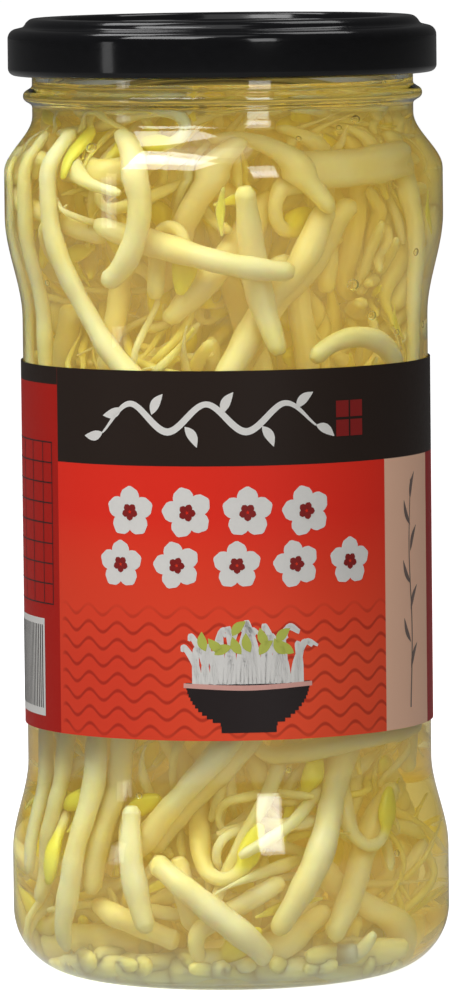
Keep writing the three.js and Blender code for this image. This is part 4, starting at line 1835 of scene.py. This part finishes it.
@dataclass(frozen=True)
class Sprouts:
    """All the sprouts: how many fill the jar behind the frame's own, and how finely each is cut."""

    stems: int = 460
    near_stems: int = 170
    threads: int = 130
    tries: int = 5
    thread_tries: int = 16
    on_base: int = 90
    leaves: int = 60
    pieces: int = 330
    piece_tries: int = 20
    leaf_tries: int = 12
    clearance: float = 0.08
    steepest: float = 0.75
    lowest: float = 5.4
    front_rings: int = 84
    front_sides: int = 14
    clump_rings: int = 64
    clump_sides: int = 12
    thin_rings: int = 30
    thin_sides: int = 8
    thread_sides: int = 6
    leaf_rings: int = 18
    rings: int = 46
    sides: int = 10
    deep_rings: int = 24
    deep_sides: int = 7
    piece_rings: int = 12
    groups: int = 8
    tone_seed: int = 515

    def front_sprouts(self) -> list[Sprout]:
        """Lists the stems that show most at the front.

        Returns:
            The stems, in the frame's order.
        """
        return [
            Sprout(
                angle=angle_seen_at(across),
                up=up,
                heading=math.radians(heading),
                length=length,
                bend=math.radians(bend),
                hook=math.radians(hook),
                radius=radius * BED.slimness,
            )
            for across, up, heading, length, bend, hook, radius in FRONT
        ]

    def draw_clump(self, draw: Draw) -> list[Sprout]:
        """Draws one try at a clump: a long sprout with others that cross it along its length.

        Args:
            draw: the rule's numbers.

        Returns:
            The clump's sprouts.
        """
        spine = Sprout(
            angle=2 * math.pi * draw(),
            up=BED.lowest + 8 + (BED.highest - BED.lowest - 16) * draw(),
            heading=2 * math.pi * draw(),
            length=38 + 10 * draw(),
            bend=1.2 * (draw() - 0.5),
            hook=3.0 if draw() < 0.5 else -3.0,
            radius=1.7 + 0.4 * draw(),
        )
        angles, heights, _ = spine.trace()
        crossing = []
        for k in range(BED.clump_sprouts - 1):
            at = math.floor(BED.trace_steps * (0.08 + 0.26 * (k + draw() * 0.6)) + 0.5)
            angle, up = angles[at], heights[at]
            heading = spine.heading + (1 if k % 2 else -1) * (0.6 + 0.8 * draw())
            length = 28 + 14 * draw()
            back = length * (0.3 + 0.3 * draw())
            start = angle - math.cos(heading) * back / (bed_radius(up) - 3)
            tail = 12.0 if draw() < 0.5 else 0.0
            radius = 1.6 + 0.5 * draw()
            low = up - math.sin(heading) * back
            crossing.append(Sprout(start, low, heading, length, 0.0, 0.0, radius, tail))
        return [spine, *crossing]

    def lay_clump(self, bed: Bed, draw: Draw) -> list[Laid]:
        """Lays a clump of crossing sprouts where the bed is still thinnest.

        Args:
            bed: the bed.
            draw: the rule's numbers.

        Returns:
            The sprouts as laid.
        """
        best: Optional[tuple[float, list[Sprout], list]] = None
        for _ in range(BED.clump_tries):
            sprouts = self.draw_clump(draw)
            lines = [sprout.trace() for sprout in sprouts]
            lowest = min(line[1].min() for line in lines)
            highest = max(line[1].max() for line in lines)
            if lowest <= BED.lowest + 1 or highest >= BED.highest - 1:
                continue
            deepest = max(bed.depths(sprout, line).max() for sprout, line in zip(sprouts, lines))
            if best is None or deepest < best[0]:
                best = (deepest, sprouts, lines)
        deepest, sprouts, lines = best
        laid = [
            (sprout, line, np.full(len(line[0]), deepest)) for sprout, line in zip(sprouts, lines)
        ]
        for item in laid:
            bed.lay(*item)
        return laid

    def draw_stem(self, draw: Draw) -> Sprout:
        """Draws a sprout anywhere round the jar.

        Args:
            draw: the rule's numbers.

        Returns:
            The sprout.
        """
        hooked = draw() < 0.55
        turn = (2.4 + 1.0 * draw()) * (1 if draw() < 0.5 else -1)
        return Sprout(
            angle=2 * math.pi * draw(),
            up=self.lowest + (BED.highest - self.lowest) * draw(),
            heading=2 * math.pi * draw(),
            length=26 + 18 * draw(),
            bend=1.6 * (draw() - 0.5),
            hook=turn if hooked else 0.0,
            radius=(0.85 + 0.4 * draw()) if draw() < 0.42 else (1.35 + 0.55 * draw()),
            tail=12.0 if draw() < 0.4 else 0.0,
        )

    def draw_thread(self, draw: Draw) -> Sprout:
        """Draws a thin root or a torn neck.

        Args:
            draw: the rule's numbers.

        Returns:
            The thread.
        """
        return Sprout(
            angle=2 * math.pi * draw(),
            up=BED.lowest + (BED.highest - BED.lowest) * draw(),
            heading=2 * math.pi * draw(),
            length=12 + 22 * draw(),
            bend=3.6 * (draw() - 0.5),
            hook=0.0,
            radius=0.38 + 0.34 * draw(),
            tail=9.0,
        )

    def trailing(self, laid: Laid, draw: Draw) -> list[Sprout]:
        """Draws the thin root and the torn neck that trail from the ends of a stem.

        Args:
            laid: the stem as laid.
            draw: numbers for the paths.

        Returns:
            The thin ends.
        """
        sprout, (angles, heights, _), _ = laid
        ends = []
        if sprout.tail == 0:
            ends.append((1, sprout.heading + math.pi))
        if sprout.hook == 0:
            ends.append((-2, sprout.heading + sprout.bend))
        return [
            Sprout(
                angle=angles[k],
                up=heights[k],
                heading=heading + 0.9 * (draw() - 0.5),
                length=8 + 14 * draw(),
                bend=2.6 * (draw() - 0.5),
                hook=0.0,
                radius=sprout.radius * (0.34 + 0.14 * draw()),
                taper=8.0,
            )
            for k, heading in ends
        ]

    def lay_on_base(self, draw: Draw) -> Laid:
        """Lays a slender stem on the jar's base, along a chord of it.

        Args:
            draw: numbers for its place.

        Returns:
            The stem as laid.
        """
        turn = 2 * math.pi * draw()
        off = 5 + 18.5 * draw()
        half = math.sqrt(25.4**2 - off**2)
        length = min(2 * half, 18 + 18 * draw())
        radius = 0.8 + 0.6 * draw()
        lift = JAR.base_top + 0.7 + radius + 2.2 * draw() ** 2
        start = -half + (2 * half - length) * draw()
        s = np.linspace(0, length, BED.trace_steps + 1)
        along = start + s
        aside = off - 1.6 * draw() * np.sin(np.pi * s / length)
        x = along * math.cos(turn) - aside * math.sin(turn)
        y = along * math.sin(turn) + aside * math.cos(turn)
        angles = np.unwrap(np.arctan2(x, -y))
        sprout = Sprout(angles[0], lift, math.pi / 2, length, 0.0, 0.0, radius)
        up = np.full(len(s), lift)
        return sprout, (angles, up, s), bed_radius(lift) - np.hypot(x, y)

    def draw_piece(self, draw: Draw) -> Sprout:
        """Draws a short broken stem that fills a gap at the glass.

        Args:
            draw: the rule's numbers.

        Returns:
            The piece.
        """
        return Sprout(
            angle=2 * math.pi * draw(),
            up=self.lowest + (BED.highest - self.lowest) * draw(),
            heading=2 * math.pi * draw(),
            length=9 + 13 * draw(),
            bend=1.8 * (draw() - 0.5),
            hook=0.0,
            radius=0.8 + 0.75 * draw(),
            tail=5.0 if draw() < 0.5 else 0.0,
        )

    def draw_leaf(self, draw: Draw) -> Sprout:
        """Draws a seed leaf that has come loose, near the top or bottom of the jar.

        Args:
            draw: the rule's numbers.

        Returns:
            The leaf.
        """
        return Sprout(
            angle=2 * math.pi * draw(),
            up=BED.lowest + 28 * draw() if draw() < 0.4 else BED.highest - 34 * draw(),
            heading=2 * math.pi * draw(),
            length=6 + 5 * draw(),
            bend=1.6 * (draw() - 0.5),
            hook=0.0,
            radius=0.75 + 0.5 * draw(),
            tail=4.0,
            taper=4.0,
        )

    def lay_best(self, bed: Bed, make: Callable[[Draw], Sprout], draw: Draw, tries: int) -> Laid:
        """Lays the sprout that comes nearest to the glass out of a few tries.

        Args:
            bed: the bed.
            make: what draws a try.
            draw: the rule's numbers.
            tries: how many tries it gets.

        Returns:
            The sprout as laid.
        """
        best = None
        for _ in range(tries):
            sprout = make(draw)
            line = sprout.trace()
            depths = bed.depths(sprout, line, self.clearance, self.steepest)
            score = depths.mean()
            if best is None or score < best[0]:
                best = (score, sprout, line, depths)
        _, sprout, line, depths = best
        bed.lay(sprout, line, depths)
        return sprout, line, depths

    def lay_frame_sprouts(self, bed: Bed, draw: Draw, tone: Draw, finishes: Finishes) -> list[Laid]:
        """Lays and builds the frame's own sprouts, finer.

        Args:
            bed: the bed that they fill.
            draw: the rule's numbers.
            tone: numbers for the shades.
            finishes: the scene's materials.

        Returns:
            Every sprout as it was laid.
        """
        stems: list[Laid] = []
        for i, sprout in enumerate(self.front_sprouts()):
            line = sprout.trace()
            depths = bed.depths(sprout, line)
            bed.lay(sprout, line, depths)
            gathered = SproutMesh()
            stems.append((sprout, line, depths))
            gathered.add(stems[-1], self.front_rings, self.front_sides, 0.5 * tone())
            name = f"sprout_{i + 1:02d}"
            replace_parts(gathered.make(f"fine_{name}", finishes), name)
        for i in range(BED.clumps):
            gathered = SproutMesh()
            for item in self.lay_clump(bed, draw):
                stems.append(item)
                shade = 0.2 + 0.6 * tone()
                gathered.add(item, self.clump_rings, self.clump_sides, shade)
            made = gathered.make(f"fine_clump_{i + 1:02d}", finishes)
            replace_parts(made, f"sprout_clump_{i + 1:02d}")
        return stems

    def lay_trails(self, bed: Bed, stems: list[Laid], tone: Draw, finishes: Finishes) -> None:
        """Lays and builds the thin ends that trail from the frame's sprouts.

        Args:
            bed: the bed that they fill.
            stems: the sprouts that they trail from.
            tone: numbers for the paths and shades.
            finishes: the scene's materials.
        """
        trails = SproutMesh()
        for thin in [thin for item in stems for thin in self.trailing(item, tone)]:
            line = thin.trace()
            depths = bed.depths(thin, line, self.clearance, self.steepest)
            bed.lay(thin, line, depths)
            shade = 0.3 + 0.5 * tone()
            trails.add((thin, line, depths), self.thin_rings, self.thin_sides, shade)
        trails.make("roots_and_necks", finishes)

    def pack(self, bed: Bed, draw: Draw, tone: Draw, finishes: Finishes) -> None:
        """Fills the jar behind the frame's sprouts, the nearest pieces first.

        Args:
            bed: the bed that they fill.
            draw: the rule's numbers.
            tone: numbers for the shades.
            finishes: the scene's materials.
        """
        groups = [SproutMesh() for _ in range(self.groups)]
        for i in range(self.near_stems):
            laid = self.lay_best(bed, self.draw_stem, draw, 3 * self.tries)
            groups[i % self.groups].add(laid, self.rings, self.sides, tone())
        leaves = SproutMesh()
        for _ in range(self.leaves):
            laid = self.lay_best(bed, self.draw_leaf, draw, self.leaf_tries)
            leaves.add(laid, self.leaf_rings, self.thin_sides, tone(), thin=True, leaf=True)
        leaves.make("loose_seed_leaves", finishes)
        for i in range(self.threads):
            laid = self.lay_best(bed, self.draw_thread, draw, self.thread_tries)
            group = groups[i % self.groups]
            group.add(laid, self.thin_rings, self.thread_sides, tone(), thin=True)
        for i in range(self.pieces):
            laid = self.lay_best(bed, self.draw_piece, draw, self.piece_tries)
            groups[i % self.groups].add(laid, self.piece_rings, self.deep_sides, 0.7 * tone())
        for i in range(self.stems):
            laid = self.lay_best(bed, self.draw_stem, draw, self.tries)
            groups[i % self.groups].add(laid, self.deep_rings, self.deep_sides, tone())
        for i, gathered in enumerate(groups):
            gathered.make(f"packed_sprouts_{i + 1:02d}", finishes)

    def build(self, finishes: Finishes) -> None:
        """Builds all the sprouts, in the order that the rule lays them.

        Args:
            finishes: the scene's materials.
        """
        bed = Bed()
        draw, tone = numbers(BED.seed), numbers(self.tone_seed)
        stems = self.lay_frame_sprouts(bed, draw, tone, finishes)
        self.lay_trails(bed, stems, tone, finishes)
        lowest = SproutMesh()
        for _ in range(self.on_base):
            laid = self.lay_on_base(tone)
            lowest.add(laid, self.thin_rings, self.thin_sides, tone())
        lowest.make("sprouts_on_base", finishes)
        self.pack(bed, draw, tone, finishes)


# The bubbles that the photograph shows: how far across, how high, and the radius.
SEEN_BUBBLES = (
    (-20.6, 127.5, 0.9),
    (19.6, 107.6, 1.0),
    (23.0, 102.5, 0.8),
    (22.2, 132.0, 0.8),
    (19.0, 130.6, 0.5),
    (-6.0, 131.0, 0.5),
    (12.0, 129.0, 0.45),
    (-27.0, 108.0, 0.5),
    (28.5, 112.0, 0.6),
    (27.0, 99.5, 0.5),
    (-14.0, 30.0, 0.5),
    (9.0, 34.0, 0.45),
    (24.0, 20.0, 0.5),
)


@dataclass(frozen=True)
class Bubbles:
    """Small air bubbles that cling to the inside of the glass."""

    more: int = 22
    off_glass: float = 0.12
    seed: int = 77
    segments: int = 16
    rings: int = 10

    def build(self, finishes: Finishes) -> None:
        """Builds the bubbles, the seen ones first and then some round the back.

        Args:
            finishes: the scene's materials.
        """
        draw = numbers(self.seed)
        places = [(angle_seen_at(across), up, size) for across, up, size in SEEN_BUBBLES]
        places += [
            (math.pi * (0.45 + 1.1 * draw()), 12 + 120 * draw(), 0.35 + 0.5 * draw())
            for _ in range(self.more)
        ]
        bm = bmesh.new()
        for angle, up, size in places:
            radius = bed_radius(up) - size - self.off_glass
            spot = Vector((radius * math.sin(angle), -radius * math.cos(angle), up)) * MM
            bmesh.ops.create_uvsphere(
                bm,
                u_segments=self.segments,
                v_segments=self.rings,
                radius=size * MM,
                matrix=Matrix.Translation(spot),
            )
        mesh = bpy.data.meshes.new("air_bubbles")
        bm.to_mesh(mesh)
        bm.free()
        mesh.shade_smooth()
        show("air_bubbles", mesh, finishes.bubble, Body.JAR)


@dataclass(frozen=True)
class Softbox:
    """A rectangular lamp: where it stands as seen from the jar, how big and how strong it is."""

    name: str
    azimuth: float
    elevation: float
    distance: float
    width: float
    height: float
    power: float

    def build(self, aim: Vector) -> None:
        """Puts the lamp in the scene, facing a point.

        Args:
            aim: the point that it faces, in metres.
        """
        az, el = math.radians(self.azimuth), math.radians(self.elevation)
        way = Vector((math.sin(az) * math.cos(el), -math.cos(az) * math.cos(el), math.sin(el)))
        spot = aim + way * self.distance
        lamp = bpy.data.lights.new(self.name, "AREA")
        lamp.shape = "RECTANGLE"
        lamp.size, lamp.size_y, lamp.energy = self.width, self.height, self.power
        obj = bpy.data.objects.new(self.name, lamp)
        obj.matrix_world = Matrix.LocRotScale(spot, (aim - spot).to_track_quat("-Z", "Y"), None)
        bpy.context.scene.collection.objects.link(obj)


SOFTBOXES = (
    Softbox("box_right", 22.0, 22.0, 0.95, 0.22, 0.48, 1.8),
    Softbox("box_left", -40.0, 54.0, 1.0, 0.62, 0.42, 7.0),
    Softbox("box_left_strip", -63.0, 2.0, 1.1, 0.12, 0.3, 0.25),
    Softbox("box_top", -20.0, 72.0, 1.1, 0.6, 0.4, 0.9),
    Softbox("box_far_right", 130.0, 64.0, 1.2, 0.5, 0.4, 2.0),
    Softbox("box_far_left", -130.0, 64.0, 1.2, 0.5, 0.4, 3.0),
)


@dataclass(frozen=True)
class Studio:
    """A plain pale floor, soft lamps and a room that is dim in reflections; sizes in metres."""

    floor_radius: float = 24.0
    floor_drop: float = 0.0002
    aim_height: float = 0.08
    room_light: float = 0.06
    backdrop_light: float = 1.0

    def build_floor(self, finishes: Finishes) -> None:
        """Builds the floor.

        Args:
            finishes: the scene's materials.
        """
        bm = bmesh.new()
        down = Matrix.Translation((0.0, 0.0, -self.floor_drop))
        bmesh.ops.create_circle(
            bm, cap_ends=True, segments=96, radius=self.floor_radius, matrix=down
        )
        mesh = bpy.data.meshes.new("pale_floor")
        bm.to_mesh(mesh)
        bm.free()
        mesh.materials.append(finishes.studio)
        floor = bpy.data.objects.new("pale_floor", mesh)
        bpy.context.scene.collection.objects.link(floor)

    def build_room(self) -> None:
        """Builds the world: white where it is seen at first hand, dim where it is reflected."""
        world = bpy.data.worlds.new("room")
        world.use_nodes = True
        nodes, links = world.node_tree.nodes, world.node_tree.links
        shade = nodes["Background"]
        shade.inputs[0].default_value = (1.0, 1.0, 1.0, 1.0)
        path = nodes.new("ShaderNodeLightPath")
        level = nodes.new("ShaderNodeMapRange")
        level.inputs["To Min"].default_value = self.room_light
        level.inputs["To Max"].default_value = self.backdrop_light
        links.new(path.outputs["Is Camera Ray"], level.inputs["Value"])
        links.new(level.outputs["Result"], shade.inputs[1])
        bpy.context.scene.world = world
        bpy.context.scene.view_settings.view_transform = "Standard"

    def build(self, finishes: Finishes) -> None:
        """Builds the floor, the lamps and the room.

        Args:
            finishes: the scene's materials.
        """
        self.build_floor(finishes)
        for box in SOFTBOXES:
            box.build(Vector((0.0, 0.0, self.aim_height)))
        self.build_room()


@dataclass(frozen=True)
class PhotoCamera:
    """The photograph's view: a long lens, a little above the lid, rolled slightly."""

    lens: float = 287.4
    sensor: float = 36.0
    distance: float = 1.23
    height: float = 0.17764
    look_down: float = 0.085
    roll: float = 0.011

    def build(self) -> None:
        """Puts the camera in the scene and makes it the scene's own."""
        lens = bpy.data.cameras.new("photo_camera")
        lens.lens = self.lens
        lens.sensor_width = self.sensor
        lens.clip_start = 0.05
        lens.clip_end = 20.0
        camera = bpy.data.objects.new("photo_camera", lens)
        tilt = Matrix.Rotation(math.pi / 2 - self.look_down, 3, "X")
        turn = tilt @ Matrix.Rotation(-self.roll, 3, "Z")
        spot = Matrix.Translation((0.0, -self.distance, self.height))
        camera.matrix_world = spot @ turn.to_4x4()
        bpy.context.scene.collection.objects.link(camera)
        bpy.context.scene.camera = camera


def main() -> None:
    """Builds the whole scene round the frame."""
    logging.basicConfig(level=logging.INFO, format="%(message)s")
    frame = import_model()
    PhotoCamera().build()
    finishes = Finishes()
    JAR.build(finishes)
    LID.build(finishes, frame["nodes"]["lid_seal"])
    LABEL.build(finishes)
    Sprouts().build(finishes)
    Bubbles().build(finishes)
    Studio().build(finishes)


if __name__ == "__main__":
    main()
